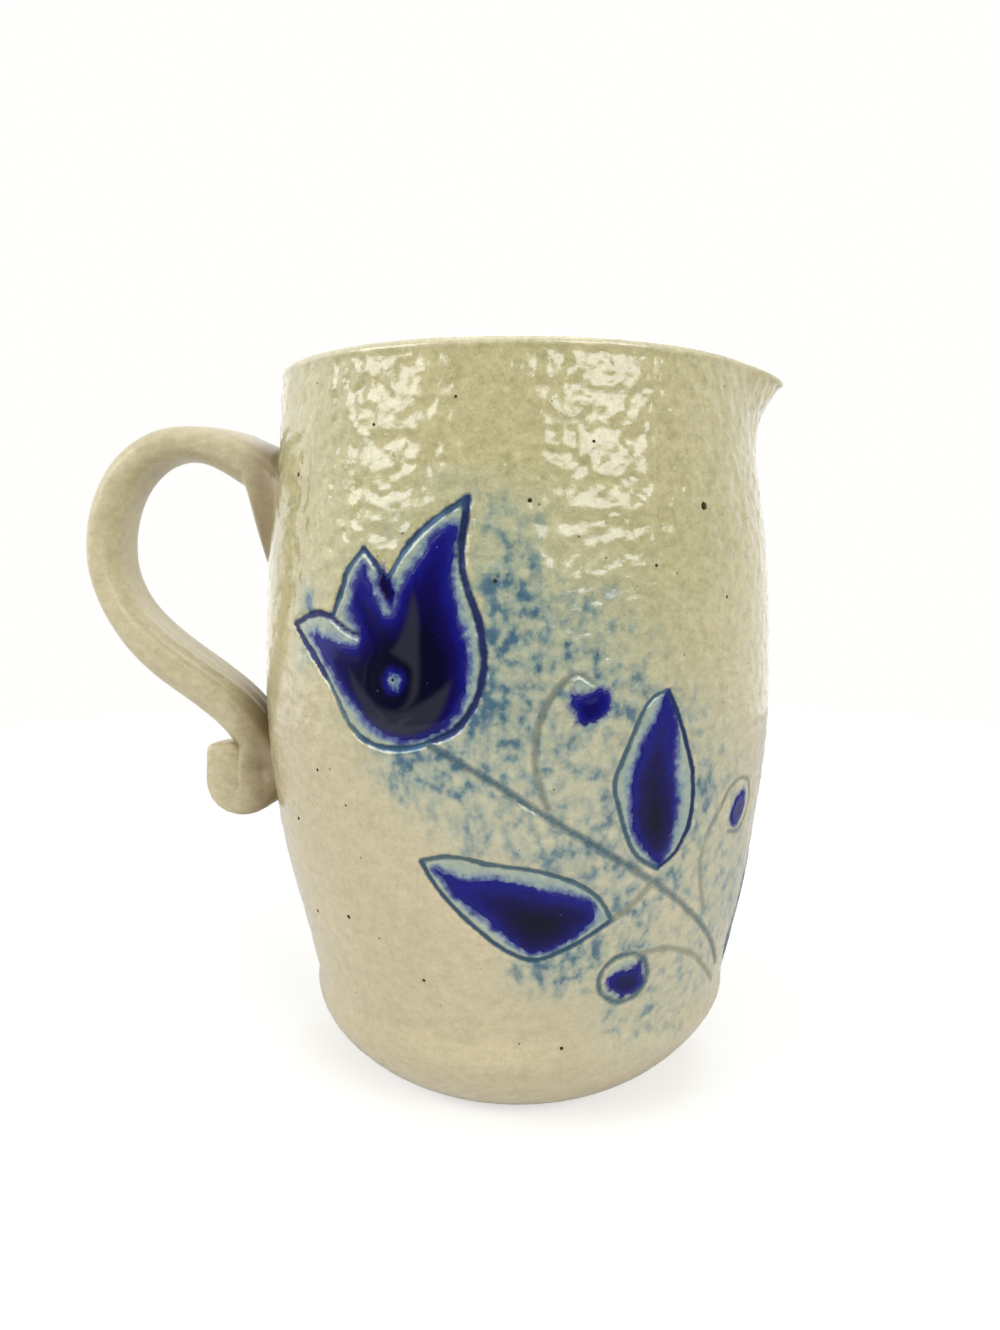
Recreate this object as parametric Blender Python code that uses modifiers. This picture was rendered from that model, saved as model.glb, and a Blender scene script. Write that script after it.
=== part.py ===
"""Salt-glazed stoneware creamer: a thrown jug, a pulled strap handle and cobalt fills in its wall.

Lengths are in metres. The jug stands on z = 0 with its axis on +Z. The pouring lip points to +X, the
handle to -X, and the incised spray of a tulip, leaves and buds faces -Y.
"""
import math

import bmesh
import bpy
import numpy as np
from mathutils import Vector
from mathutils.geometry import interpolate_bezier

# Thrown body
BODY_HEIGHT = 0.108
BASE_RADIUS = 0.0184
FOOT_RADIUS = 0.0333
FOOT_HEIGHT = 0.0146
CREASE_RADIUS = 0.0333
CREASE_HEIGHT = 0.019
BELLY_RADIUS = 0.0387
BELLY_HEIGHT = 0.060
RIM_RADIUS = 0.0354
RIM_THICKNESS = 0.0028
WALL_THICKNESS = 0.0044
FLOOR_THICKNESS = 0.006
FLOOR_RADIUS = 0.014
BOWL_DEPTH = 0.020

# Pulled pouring lip
LIP_REACH = 0.0052
LIP_DEPTH = 0.010
LIP_WIDTH = 0.0125

# Pulled strap handle
STRAP_THICKNESS = 0.0056
STRAP_WIDTH = 0.014
HANDLE_STANDOFF = 0.0253
HANDLE_CROWN_DROP = 0.0102
HANDLE_CROWN_OUT = 0.0148
HANDLE_JOIN_DROP = 0.0175
HANDLE_BACK_DROP = 0.027
HANDLE_FOOT_DROP = 0.0565
JOIN_FLARE = 0.0042
JOIN_WIDTH = 0.018
TAIL_THICKNESS = 0.0062
CURL_DROP = 0.0065
CURL_GAP = 0.0006
CURL_END = 0.0028
PRESSED_IN = 0.0008

# Cobalt fills
FILL_DROP = 0.0002
FILL_THICKNESS = 0.0007
SEAT_GAP = 0.0003

# Resolution of the solids
TURN_STEPS = 72
STRAP_SIDES = 14
CURL_STEPS = 9
BEND_STEP = 0.006
WELD = 0.000001

# Shape of the wall between its named radii, as shares of each stretch
FOOT_FULLNESS = 0.40
BOWL_FULLNESS = 0.5
LOWER_WALL_START = (0.444, 0.207)
LOWER_WALL_END = 0.549
UPPER_WALL_START = 0.386
UPPER_WALL_END = (0.24, 0.227)

# Shape of the handle's middle line between its named places, as shares of each stretch
JOIN_EASE = (0.35, 0.7)
CROWN_EASE = 0.35
SHOULDER_EASE = 0.62
BACK_EASE_UP = 0.58
BACK_EASE_DOWN = 0.51
FOOT_EASE = (0.16, 0.36)
PRESS_EASE = (0.02, 0.3)
CURL_EASE = 0.35
STRAP_SQUARENESS = 0.8
TAIL_TIP = ((0.55, 0.8), (0.85, 0.45))

# The spray is drawn in millimetres across and up from its middle, which lies midway up the wall
ORNAMENT_UNIT = 0.001
ROUND = "AUTO"
TIP = "VECTOR"

TULIP = (
    (-8.0, 22.0, TIP), (-9.2, 16.0, ROUND), (-7.3, 8.5, ROUND), (-7.0, 3.5, ROUND), (-9.0, -1.5, ROUND),
    (-14.2, -3.9, ROUND), (-19.6, -1.9, ROUND), (-23.5, 2.6, ROUND), (-29.0, 6.2, TIP),
    (-24.2, 5.6, ROUND), (-21.8, 7.0, TIP), (-22.4, 12.0, ROUND), (-21.3, 17.4, TIP),
    (-19.6, 12.8, ROUND), (-17.0, 10.2, ROUND), (-15.2, 13.6, ROUND), (-11.6, 18.4, ROUND),
)
LEAF_LOW = (
    (-11.5, -21.8, TIP), (-3.0, -23.6, ROUND), (5.2, -24.8, ROUND), (9.7, -27.8, ROUND),
    (4.0, -32.0, ROUND), (-0.5, -32.4, ROUND), (-6.5, -27.0, ROUND),
)
LEAF_HIGH = (
    (19.7, 0.6, TIP), (16.4, -6.5, ROUND), (14.7, -12.5, ROUND), (15.7, -18.0, ROUND),
    (19.0, -22.4, TIP), (22.1, -19.0, ROUND), (21.8, -12.5, ROUND), (20.5, -5.0, ROUND),
)
LEAF_FAR = (
    (52.0, -20.5, TIP), (46.6, -25.5, ROUND), (43.6, -32.0, ROUND), (44.6, -38.0, ROUND),
    (47.4, -40.5, TIP), (51.4, -36.0, ROUND), (53.4, -28.0, ROUND),
)

# Round fills: middle across and up, half width and half height
BUD_HIGH = (8.3, -0.3, 2.4, 2.4)
BUD_LOW = (15.7, -38.6, 2.9, 2.3)
BUD_FAR = (36.0, -17.3, 2.3, 2.2)
PETAL_NOTCH = (-17.5, 15.0, 1.0, 2.4)


def clear_scene():
    """Remove every object of the scene that the script starts in."""
    for existing in list(bpy.data.objects):
        bpy.data.objects.remove(existing, do_unlink=True)


def make_collection(name):
    collection = bpy.data.collections.new(name)
    bpy.context.scene.collection.children.link(collection)
    return collection


def make_material(name, colour, roughness):
    """A fired surface: base colour as linear RGB, no metal."""
    material = bpy.data.materials.new(name)
    material.use_nodes = True
    shader = material.node_tree.nodes["Principled BSDF"]
    shader.inputs["Base Color"].default_value = (*colour, 1.0)
    shader.inputs["Roughness"].default_value = roughness
    shader.inputs["Metallic"].default_value = 0.0
    return material


def bezier(start, start_handle, end_handle, end, steps):
    """Points of one Bezier stretch in a plane, from start to end."""
    knots = [Vector(point) for point in (start, start_handle, end_handle, end)]
    return [(point[0], point[1]) for point in interpolate_bezier(*knots, steps + 1)]


def rim_base():
    """Height at which the rounding of the rim begins."""
    return BODY_HEIGHT - RIM_THICKNESS / 2


def foot_curve(steps):
    """Outer foot from the flat base's edge up to the widest part of the foot."""
    spread = FOOT_RADIUS - BASE_RADIUS
    return bezier(
        (BASE_RADIUS, 0.0),
        (BASE_RADIUS + FOOT_FULLNESS * spread, 0.0),
        (FOOT_RADIUS, FOOT_HEIGHT * (1 - FOOT_FULLNESS)),
        (FOOT_RADIUS, FOOT_HEIGHT),
        steps,
    )


def lower_wall_curve(steps):
    """Outer wall from the crease above the foot to the belly."""
    swell = BELLY_RADIUS - CREASE_RADIUS
    rise = BELLY_HEIGHT - CREASE_HEIGHT
    return bezier(
        (CREASE_RADIUS, CREASE_HEIGHT),
        (CREASE_RADIUS + LOWER_WALL_START[0] * swell, CREASE_HEIGHT + LOWER_WALL_START[1] * rise),
        (BELLY_RADIUS, BELLY_HEIGHT - LOWER_WALL_END * rise),
        (BELLY_RADIUS, BELLY_HEIGHT),
        steps,
    )


def upper_wall_curve(steps):
    """Outer wall from the belly to the start of the rim's rounding."""
    narrowing = BELLY_RADIUS - RIM_RADIUS
    rise = rim_base() - BELLY_HEIGHT
    return bezier(
        (BELLY_RADIUS, BELLY_HEIGHT),
        (BELLY_RADIUS, BELLY_HEIGHT + UPPER_WALL_START * rise),
        (RIM_RADIUS + UPPER_WALL_END[0] * narrowing, rim_base() - UPPER_WALL_END[1] * rise),
        (RIM_RADIUS, rim_base()),
        steps,
    )


def wall_radius(height):
    """Outer radius of the turned body at a height."""
    fine_steps = 40
    curve = foot_curve(fine_steps) + lower_wall_curve(fine_steps) + upper_wall_curve(fine_steps)
    radii = [point[0] for point in curve]
    heights = [point[1] for point in curve]
    return float(np.interp(height, heights, radii))


def inner_radius(height):
    """Inner radius of the wall, which thins from the belly to the rim."""
    thinning = np.clip((height - BELLY_HEIGHT) / (rim_base() - BELLY_HEIGHT), 0.0, 1.0)
    thickness = WALL_THICKNESS + (RIM_THICKNESS - WALL_THICKNESS) * float(thinning)
    return wall_radius(height) - thickness


def heights_between(low, high, steps):
    return [float(height) for height in np.linspace(low, high, steps + 1)]


def inside_profile():
    """Inside of the jug, from the middle of the floor up to the rim."""
    bowl_top = FLOOR_THICKNESS + BOWL_DEPTH
    bowl_radius = inner_radius(bowl_top)
    slope = (inner_radius(bowl_top) - inner_radius(bowl_top - WALL_THICKNESS)) / WALL_THICKNESS
    bowl_rise = BOWL_FULLNESS * BOWL_DEPTH
    bowl = bezier(
        (FLOOR_RADIUS, FLOOR_THICKNESS),
        (FLOOR_RADIUS + BOWL_FULLNESS * (bowl_radius - FLOOR_RADIUS), FLOOR_THICKNESS),
        (bowl_radius - slope * bowl_rise, bowl_top - bowl_rise),
        (bowl_radius, bowl_top),
        5,
    )
    lip_root = BODY_HEIGHT - LIP_DEPTH
    heights = heights_between(bowl_top, lip_root, 5)[1:-1] + heights_between(lip_root, rim_base(), 3)
    wall = [(inner_radius(height), height) for height in heights]
    return [(0.0, FLOOR_THICKNESS)] + bowl + wall


def rim_profile():
    """Rounded top of the rim, from inside to outside, without its ends."""
    half = RIM_THICKNESS / 2
    middle = RIM_RADIUS - half
    profile = []
    for degrees in (135, 90, 45):
        angle = math.radians(degrees)
        profile.append((middle + half * math.cos(angle), rim_base() + half * math.sin(angle)))
    return profile


def outside_profile():
    """Outside of the jug, from the rim down to the middle of the base."""
    lip_root = BODY_HEIGHT - LIP_DEPTH
    heights = heights_between(rim_base(), lip_root, 4) + heights_between(lip_root, BELLY_HEIGHT, 5)[1:]
    upper = [(wall_radius(height), height) for height in heights]
    lower = lower_wall_curve(7)[-2::-1]
    foot = foot_curve(6)[::-1]
    return upper + lower + foot + [(0.0, 0.0)]


def turned(name, profile, collection):
    """Solid of revolution round +Z from a profile that runs down its outer side."""
    mesh = bpy.data.meshes.new(name)
    points = [(radius, 0.0, height) for radius, height in profile]
    edges = [(index, index + 1) for index in range(len(points) - 1)]
    mesh.from_pydata(points, edges, [])
    shape = bpy.data.objects.new(name, mesh)
    collection.objects.link(shape)
    screw = shape.modifiers.new("turn", "SCREW")
    screw.axis = "Z"
    screw.steps = TURN_STEPS
    screw.render_steps = TURN_STEPS
    screw.use_merge_vertices = True
    screw.merge_threshold = WELD
    return shape


def baked(shape, collection):
    """Replace an object by the plain welded mesh that its modifiers or curve settings make."""
    name = shape.name
    graph = bpy.context.evaluated_depsgraph_get()
    mesh = bpy.data.meshes.new_from_object(shape.evaluated_get(graph))
    bpy.data.objects.remove(shape, do_unlink=True)
    shaped = bmesh.new()
    shaped.from_mesh(mesh)
    bmesh.ops.remove_doubles(shaped, verts=shaped.verts, dist=WELD)
    shaped.to_mesh(mesh)
    shaped.free()
    result = bpy.data.objects.new(name, mesh)
    result.data.name = name
    collection.objects.link(result)
    return result


def pull_lip(mesh):
    """Draw the rim out towards +X into a short pouring beak."""
    lip_root = BODY_HEIGHT - LIP_DEPTH
    for vertex in mesh.vertices:
        rise = (vertex.co.z - lip_root) / LIP_DEPTH
        if rise <= 0:
            continue
        across = RIM_RADIUS * math.atan2(vertex.co.y, vertex.co.x)
        share = 0.5 ** ((2 * across / LIP_WIDTH) ** 2)
        flare = min(rise, 1.0) ** 1.5
        outward = Vector((vertex.co.x, vertex.co.y, 0.0)).normalized()
        vertex.co += outward * LIP_REACH * share * flare


def cut_by(shape, cutter):
    """Cut one object out of another and keep the cutter as a wire guide."""
    cut = shape.modifiers.new(cutter.name, "BOOLEAN")
    cut.operation = "DIFFERENCE"
    cut.solver = "EXACT"
    cut.object = cutter
    cutter.hide_render = True
    cutter.display_type = "WIRE"


def finish(shape, material, parent):
    """Shade a part smooth, give it its material and hang it on the jug's empty."""
    shape.data.shade_smooth()
    shape.data.set_sharp_from_angle(angle=math.radians(40))
    shape.data.materials.clear()
    shape.data.materials.append(material)
    shape.parent = parent


def spray_height():
    """Height of the middle of the drawn spray."""
    return (CREASE_HEIGHT + BODY_HEIGHT) / 2


def round_outline(middle_across, middle_up, half_width, half_height):
    """Four round points of an ellipse."""
    return (
        (middle_across + half_width, middle_up, ROUND),
        (middle_across, middle_up + half_height, ROUND),
        (middle_across - half_width, middle_up, ROUND),
        (middle_across, middle_up - half_height, ROUND),
    )


def flat_slab(name, outline, thickness, growth, collection):
    """Flat plate with a drawn outline, grown by a clearance."""
    curve = bpy.data.curves.new(name, "CURVE")
    curve.dimensions = "2D"
    curve.fill_mode = "BOTH"
    curve.extrude = thickness / 2
    curve.offset = growth
    curve.resolution_u = 3
    spline = curve.splines.new("BEZIER")
    spline.bezier_points.add(len(outline) - 1)
    spline.use_cyclic_u = True
    for point, (across, up, bend) in zip(spline.bezier_points, outline):
        point.co = (across * ORNAMENT_UNIT, up * ORNAMENT_UNIT, 0.0)
        point.handle_left_type = bend
        point.handle_right_type = bend
    shape = bpy.data.objects.new(name, curve)
    collection.objects.link(shape)
    return baked(shape, collection)


def split_for_bending(shaped):
    """Cut a flat plate along a grid, so that it can bend round the wall."""
    for axis in (0, 1):
        places = [vertex.co[axis] for vertex in shaped.verts]
        normal = Vector((1.0, 0.0, 0.0)) if axis == 0 else Vector((0.0, 1.0, 0.0))
        first = math.floor(min(places) / BEND_STEP) + 1
        last = math.ceil(max(places) / BEND_STEP)
        for index in range(first, last):
            everything = list(shaped.verts) + list(shaped.edges) + list(shaped.faces)
            bmesh.ops.bisect_plane(
                shaped, geom=everything, dist=WELD, plane_co=normal * index * BEND_STEP, plane_no=normal
            )


def bent_slab(name, outline, shallow, deep, growth, collection):
    """Plate that follows the wall between two depths under its surface."""
    shape = flat_slab(name, outline, deep - shallow, growth, collection)
    middle_depth = (shallow + deep) / 2
    shaped = bmesh.new()
    shaped.from_mesh(shape.data)
    split_for_bending(shaped)
    for vertex in shaped.verts:
        height = spray_height() + vertex.co.y
        angle = vertex.co.x / BELLY_RADIUS
        radius = wall_radius(height) - middle_depth + vertex.co.z
        vertex.co = (radius * math.sin(angle), -radius * math.cos(angle), height)
    bmesh.ops.triangulate(shaped, faces=shaped.faces)
    bmesh.ops.recalc_face_normals(shaped, faces=shaped.faces)
    shaped.to_mesh(shape.data)
    shaped.free()
    return shape


def make_fill(name, outline, body, material, parent, parts, cutters):
    """One cobalt fill and the pocket that it lies in."""
    fill_bed = FILL_DROP + FILL_THICKNESS
    fill = bent_slab(name, outline, FILL_DROP, fill_bed, 0.0, parts)
    finish(fill, material, parent)
    clear_of_wall = -2 * FILL_THICKNESS
    pocket = bent_slab("pocket_of_" + name, outline, clear_of_wall, fill_bed + SEAT_GAP, SEAT_GAP, cutters)
    cut_by(body, pocket)


def handle_path():
    """Middle line of the strap in the XZ plane, from inside the upper wall to the tip of the curl."""
    join_height = BODY_HEIGHT - HANDLE_JOIN_DROP
    join = (-wall_radius(join_height) + WALL_THICKNESS / 2, join_height)
    crown_height = BODY_HEIGHT - HANDLE_CROWN_DROP
    crown = (-wall_radius(crown_height) - HANDLE_CROWN_OUT, crown_height)
    back = (-BELLY_RADIUS - HANDLE_STANDOFF, BODY_HEIGHT - HANDLE_BACK_DROP)
    foot_height = BODY_HEIGHT - HANDLE_FOOT_DROP
    foot = (-(wall_radius(foot_height) + STRAP_THICKNESS / 2 - PRESSED_IN), foot_height)
    curl_height = foot_height - CURL_DROP
    curl_start = (-(wall_radius(curl_height) + TAIL_THICKNESS / 2 - PRESSED_IN), curl_height)
    curl_radius = (TAIL_THICKNESS + CURL_GAP) / 2

    over = join[0] - crown[0]
    shoulder = crown[0] - back[0]
    fall = crown[1] - back[1]
    drop = back[1] - foot[1]
    run = foot[0] - back[0]
    press = foot[1] - curl_start[1]
    path = bezier(
        join,
        (join[0] - JOIN_EASE[0] * over, join[1] + JOIN_EASE[1] * (crown[1] - join[1])),
        (crown[0] + CROWN_EASE * over, crown[1]),
        crown,
        7,
    )
    path += bezier(
        crown,
        (crown[0] - SHOULDER_EASE * shoulder, crown[1]),
        (back[0], back[1] + BACK_EASE_UP * fall),
        back,
        6,
    )[1:]
    path += bezier(
        back,
        (back[0], back[1] - BACK_EASE_DOWN * drop),
        (foot[0] - FOOT_EASE[0] * run, foot[1] + FOOT_EASE[1] * drop),
        foot,
        9,
    )[1:]
    path += bezier(
        foot,
        (foot[0] + PRESS_EASE[0] * run, foot[1] - PRESS_EASE[1] * press),
        (curl_start[0], curl_start[1] + CURL_EASE * press),
        curl_start,
        3,
    )[1:]
    curl_middle = curl_start[0] - curl_radius
    for step in range(1, CURL_STEPS + 1):
        angle = math.pi * step / CURL_STEPS
        path.append((curl_middle + curl_radius * math.cos(angle), curl_height - curl_radius * math.sin(angle)))
    path.append((curl_middle - curl_radius, curl_height + CURL_END / 2))
    path.append((curl_middle - curl_radius, curl_height + CURL_END))
    return path


def strap_section(place, along, half_thickness, half_width):
    """Ring of points of a flattened oval across the strap."""
    out = Vector((along.z, 0.0, -along.x))
    ring = []
    for side in range(STRAP_SIDES):
        angle = 2 * math.pi * side / STRAP_SIDES
        across = math.copysign(abs(math.cos(angle)) ** STRAP_SQUARENESS, math.cos(angle))
        through = math.copysign(abs(math.sin(angle)) ** STRAP_SQUARENESS, math.sin(angle))
        ring.append(place + out * through * half_thickness + Vector((0.0, across * half_width, 0.0)))
    return ring


def handle_sections():
    """Rings along the strap: flared at the upper wall, even along its run, rounded at the curl's tip."""
    path = [Vector((x, 0.0, z)) for x, z in handle_path()]
    join_height = BODY_HEIGHT - HANDLE_JOIN_DROP
    wall_face = -wall_radius(join_height)
    rings = []
    for index, place in enumerate(path):
        before = path[max(index - 1, 0)]
        after = path[min(index + 1, len(path) - 1)]
        along = (after - before).normalized()
        away = max(wall_face - place.x, 0.0) / HANDLE_CROWN_OUT
        near_join = place.z > BODY_HEIGHT - HANDLE_BACK_DROP
        flare = (1 - min(away, 1.0)) ** 2 if near_join else 0.0
        on_tail = place.z < BODY_HEIGHT - HANDLE_FOOT_DROP
        thickness = TAIL_THICKNESS if on_tail else STRAP_THICKNESS
        half_thickness = thickness / 2 + JOIN_FLARE * flare
        half_width = STRAP_WIDTH / 2 + (JOIN_WIDTH - STRAP_WIDTH) / 2 * flare
        rings.append(strap_section(place, along, half_thickness, half_width))
    along = (path[-1] - path[-2]).normalized()
    for advance, shrink in TAIL_TIP:
        place = path[-1] + along * advance * TAIL_THICKNESS / 2
        half = TAIL_THICKNESS / 2 * shrink
        rings.append(strap_section(place, along, half, STRAP_WIDTH / 2 - TAIL_THICKNESS / 2 + half))
    return rings


def lofted(name, rings, collection):
    """Closed skin over a row of rings."""
    skin = bmesh.new()
    rows = [[skin.verts.new(point) for point in ring] for ring in rings]
    for row, following in zip(rows, rows[1:]):
        for side in range(len(row)):
            beside = (side + 1) % len(row)
            skin.faces.new((row[side], row[beside], following[beside], following[side]))
    skin.faces.new(rows[0])
    skin.faces.new(rows[-1])
    bmesh.ops.recalc_face_normals(skin, faces=skin.faces)
    bmesh.ops.triangulate(skin, faces=skin.faces)
    mesh = bpy.data.meshes.new(name)
    skin.to_mesh(mesh)
    skin.free()
    shape = bpy.data.objects.new(name, mesh)
    collection.objects.link(shape)
    return shape


def make_body(material, parent, parts):
    """Thrown body: one turned profile with its lip pulled out."""
    profile = inside_profile() + rim_profile() + outside_profile()
    body = baked(turned("thrown_body", profile, parts), parts)
    pull_lip(body.data)
    finish(body, material, parent)
    return body


def make_handle(material, parent, parts, cutters):
    """Pulled handle, cut to sit on the wall at both of its joints."""
    handle = lofted("pulled_handle", handle_sections(), parts)
    finish(handle, material, parent)
    grown = [(radius + SEAT_GAP if radius > 0 else 0.0, height) for radius, height in outside_profile()]
    top = [(0.0, rim_base())]
    seat = baked(turned("handle_seat", top + grown, cutters), cutters)
    cut_by(handle, seat)


def main():
    clear_scene()
    parts = make_collection("stoneware_creamer")
    cutters = make_collection("creamer_cutters")
    parent = bpy.data.objects.new("creamer_frame", None)
    parts.objects.link(parent)

    body_clay = make_material("salt_glazed_stoneware", (0.55, 0.49, 0.31), 0.32)
    handle_clay = make_material("salt_glazed_strap", (0.48, 0.40, 0.24), 0.34)
    cobalt = make_material("cobalt_glass", (0.012, 0.008, 0.16), 0.08)

    body = make_body(body_clay, parent, parts)
    make_handle(handle_clay, parent, parts, cutters)
    fills = {
        "cobalt_tulip": TULIP,
        "cobalt_petal_notch": round_outline(*PETAL_NOTCH),
        "cobalt_leaf_low": LEAF_LOW,
        "cobalt_leaf_high": LEAF_HIGH,
        "cobalt_leaf_far": LEAF_FAR,
        "cobalt_bud_high": round_outline(*BUD_HIGH),
        "cobalt_bud_low": round_outline(*BUD_LOW),
        "cobalt_bud_far": round_outline(*BUD_FAR),
    }
    for name, outline in fills.items():
        make_fill(name, outline, body, cobalt, parent, parts, cutters)


main()
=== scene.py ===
"""Looks of a salt-glazed stoneware creamer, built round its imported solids.

Lengths are in metres, unless a comment says millimetres. The jug stands on z = 0 with its axis on +Z. The
pouring lip points to +X, the handle to -X, and the incised spray of a tulip, leaves and buds faces -Y.
"""
import math

import bmesh
import bpy
import numpy as np
from bpy.props import FloatProperty, FloatVectorProperty, IntProperty, PointerProperty
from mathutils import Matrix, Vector
from mathutils.geometry import delaunay_2d_cdt


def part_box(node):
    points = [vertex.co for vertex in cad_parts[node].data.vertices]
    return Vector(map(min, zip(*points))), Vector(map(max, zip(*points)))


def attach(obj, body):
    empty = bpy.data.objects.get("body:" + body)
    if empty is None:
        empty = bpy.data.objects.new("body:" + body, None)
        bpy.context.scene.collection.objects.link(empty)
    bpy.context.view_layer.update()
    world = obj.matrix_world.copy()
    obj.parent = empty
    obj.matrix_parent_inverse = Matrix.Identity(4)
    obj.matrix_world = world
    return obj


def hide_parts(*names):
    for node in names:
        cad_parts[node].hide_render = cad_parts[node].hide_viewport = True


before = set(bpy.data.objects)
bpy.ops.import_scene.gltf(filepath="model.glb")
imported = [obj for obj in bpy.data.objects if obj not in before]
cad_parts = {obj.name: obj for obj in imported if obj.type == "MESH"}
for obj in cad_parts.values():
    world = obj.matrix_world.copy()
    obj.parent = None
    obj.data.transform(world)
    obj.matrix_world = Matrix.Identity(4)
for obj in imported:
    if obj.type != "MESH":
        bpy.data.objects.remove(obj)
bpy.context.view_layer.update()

bl_info = {
    "name": "Salt-glazed creamer",
    "version": (1, 0, 0),
    "blender": (4, 5, 0),
    "location": "3D View > Sidebar > Creamer",
    "description": "Builds a thrown stoneware creamer with a pulled handle and a cobalt-filled incised spray",
    "category": "Add Mesh",
}

BODY_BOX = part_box("thrown_body")
MM = 0.001

# Thrown body, as on its solid
BODY_HEIGHT = BODY_BOX[1].z
BELLY_RADIUS = BODY_BOX[1].y
BASE_RADIUS = 18.4 * MM
FOOT_RADIUS = 33.3 * MM
FOOT_HEIGHT = 14.6 * MM
WAIST_RADIUS = 35.9 * MM
WAIST_HEIGHT = 29.0 * MM
BELLY_HEIGHT = 60.0 * MM
RIM_RADIUS = 35.4 * MM
RIM_THICKNESS = 2.8 * MM
RIM_BASE = BODY_HEIGHT - RIM_THICKNESS / 2
WALL_THICKNESS = 4.4 * MM
FLOOR_THICKNESS = 6.0 * MM
FLOOR_RADIUS = 14.0 * MM
BOWL_TOP = 26.0 * MM
LIP_REACH = 5.4 * MM
LIP_DROOP = 1.7 * MM
LIP_DEPTH = 13.0 * MM
LIP_WIDTH = 17.0 * MM
LIP_TURN = math.radians(7.5)

# How the thrown wall departs from its solid: a groove under the rim, a crease over the foot, a lean of the
# foot, ovals of the belly and the rim, pockets under the pools, and a skin a little inside the solid's
GROOVE_HEIGHT = 96.0 * MM
GROOVE_DEPTH = 0.12 * MM
GROOVE_REACH = 0.9 * MM
CREASE_HEIGHT = 15.6 * MM
CREASE_DEPTH = 0.4 * MM
CREASE_REACH = 2.2 * MM
FOOT_LEAN = 0.55 * MM
BELLY_OVAL = 0.72 * MM
RIM_OVAL = 0.45 * MM
POCKET_DEPTH = 0.75 * MM
SKIN_DROP = 0.08 * MM

# Pulled handle, as on its solid
STRAP_THICKNESS = 5.4 * MM
STRAP_WIDTH = 14.0 * MM
TAIL_THICKNESS = 6.2 * MM
STANDOFF = 25.3 * MM
CROWN_HEIGHT = BODY_HEIGHT - 10.2 * MM
CROWN_OUT = 14.8 * MM
JOIN_HEIGHT = BODY_HEIGHT - 17.5 * MM
BACK_HEIGHT = BODY_HEIGHT - 27.0 * MM
PRESS_HEIGHT = BODY_HEIGHT - 56.5 * MM
CURL_HEIGHT = PRESS_HEIGHT - 5.9 * MM
CURL_RADIUS = 2.75 * MM
CURL_END = 2.6 * MM
JOIN_RISE = 2.2 * MM
JOIN_FALL = 3.2 * MM
JOIN_TONGUE = 9.5 * MM
JOIN_WIDTH = 18.0 * MM
DIAGONAL_SWELL = 1.8 * MM
PRESSED_IN = 0.8 * MM
STRAP_SQUARENESS = 0.8
TAIL_SQUARENESS = 0.42
TAIL_CLOSING = 1.1 * MM
TAIL_NARROWING = 0.35 * MM
TAIL_OUTSIDE = -44.0 * MM
TAIL_WOBBLE = 0.12 * MM
CURL_SQUARENESS = 0.75
TIP_RINGS = 6
TIP_END = 0.004
TIP_SHARE = 0.85
TIP_SLANT = 0.14
JOINED_SHARE = 0.6

# How far the wet strap was wiped out over the wall and sinks into it, how far its joints are browned and
# shaded with painted shade, and the peel of its skin
WIPE_SPREAD = 1.3 * MM
WIPE_REACH = 2.4 * MM
STRAP_SINK = 1.0 * MM
JOINT_REACH = 7.0 * MM
LOW_JOINT_REACH = 1.0 * MM
STRAP_PEEL_SIZE = 3.4 * MM
STRAP_PEEL_DEPTH = 0.06 * MM
STRAP_PEEL_SHARE = 0.45

# Ridge and thumb dimple on the near side of the curl, in the XZ plane
TAIL_RIDGE = ((-43.2 * MM, 46.7 * MM), (-39.8 * MM, 41.4 * MM))
TAIL_RIDGE_HEIGHT = 0.3 * MM
TAIL_RIDGE_REACH = 1.2 * MM
TAIL_THUMB = (-40.3 * MM, 47.8 * MM)
TAIL_THUMB_DEPTH = 1.3 * MM
TAIL_THUMB_REACH = 2.2 * MM
# Reach of the painted shade in the thumb dimple
TAIL_THUMB_SHADE = 2.0 * MM

# Mesh steps
FINE_COLUMNS = 240
COARSE_COLUMNS = 120
FINE_ROW = 0.44 * MM
FINE_LOW = 19.0 * MM
RIM_ROW = 0.6 * MM
FOOT_ROW = 0.9 * MM
INSIDE_ROW = 2.2 * MM
STRAP_STEP = 0.7 * MM
JOIN_STEP = 0.3 * MM
STRAP_SIDES = 60
STRETCH_STEPS = 40
POOL_STEP = 0.34
FRAY_STEP = 0.22

# The spray is drawn in millimetres: across the wall from the middle of the front, and up from the base
SPRAY_LEFT = -37.0
SPRAY_RIGHT = 56.0
SPRAY_LOW = 8.0
SPRAY_HIGH = 93.0
FAR_AWAY = 99.0

# A drawn point is round unless it is marked as a tip. A round point's handle is as long as the way to its
# neighbour over this number.
TIP = "tip"
ROUND_EASE = 2.5614

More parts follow.
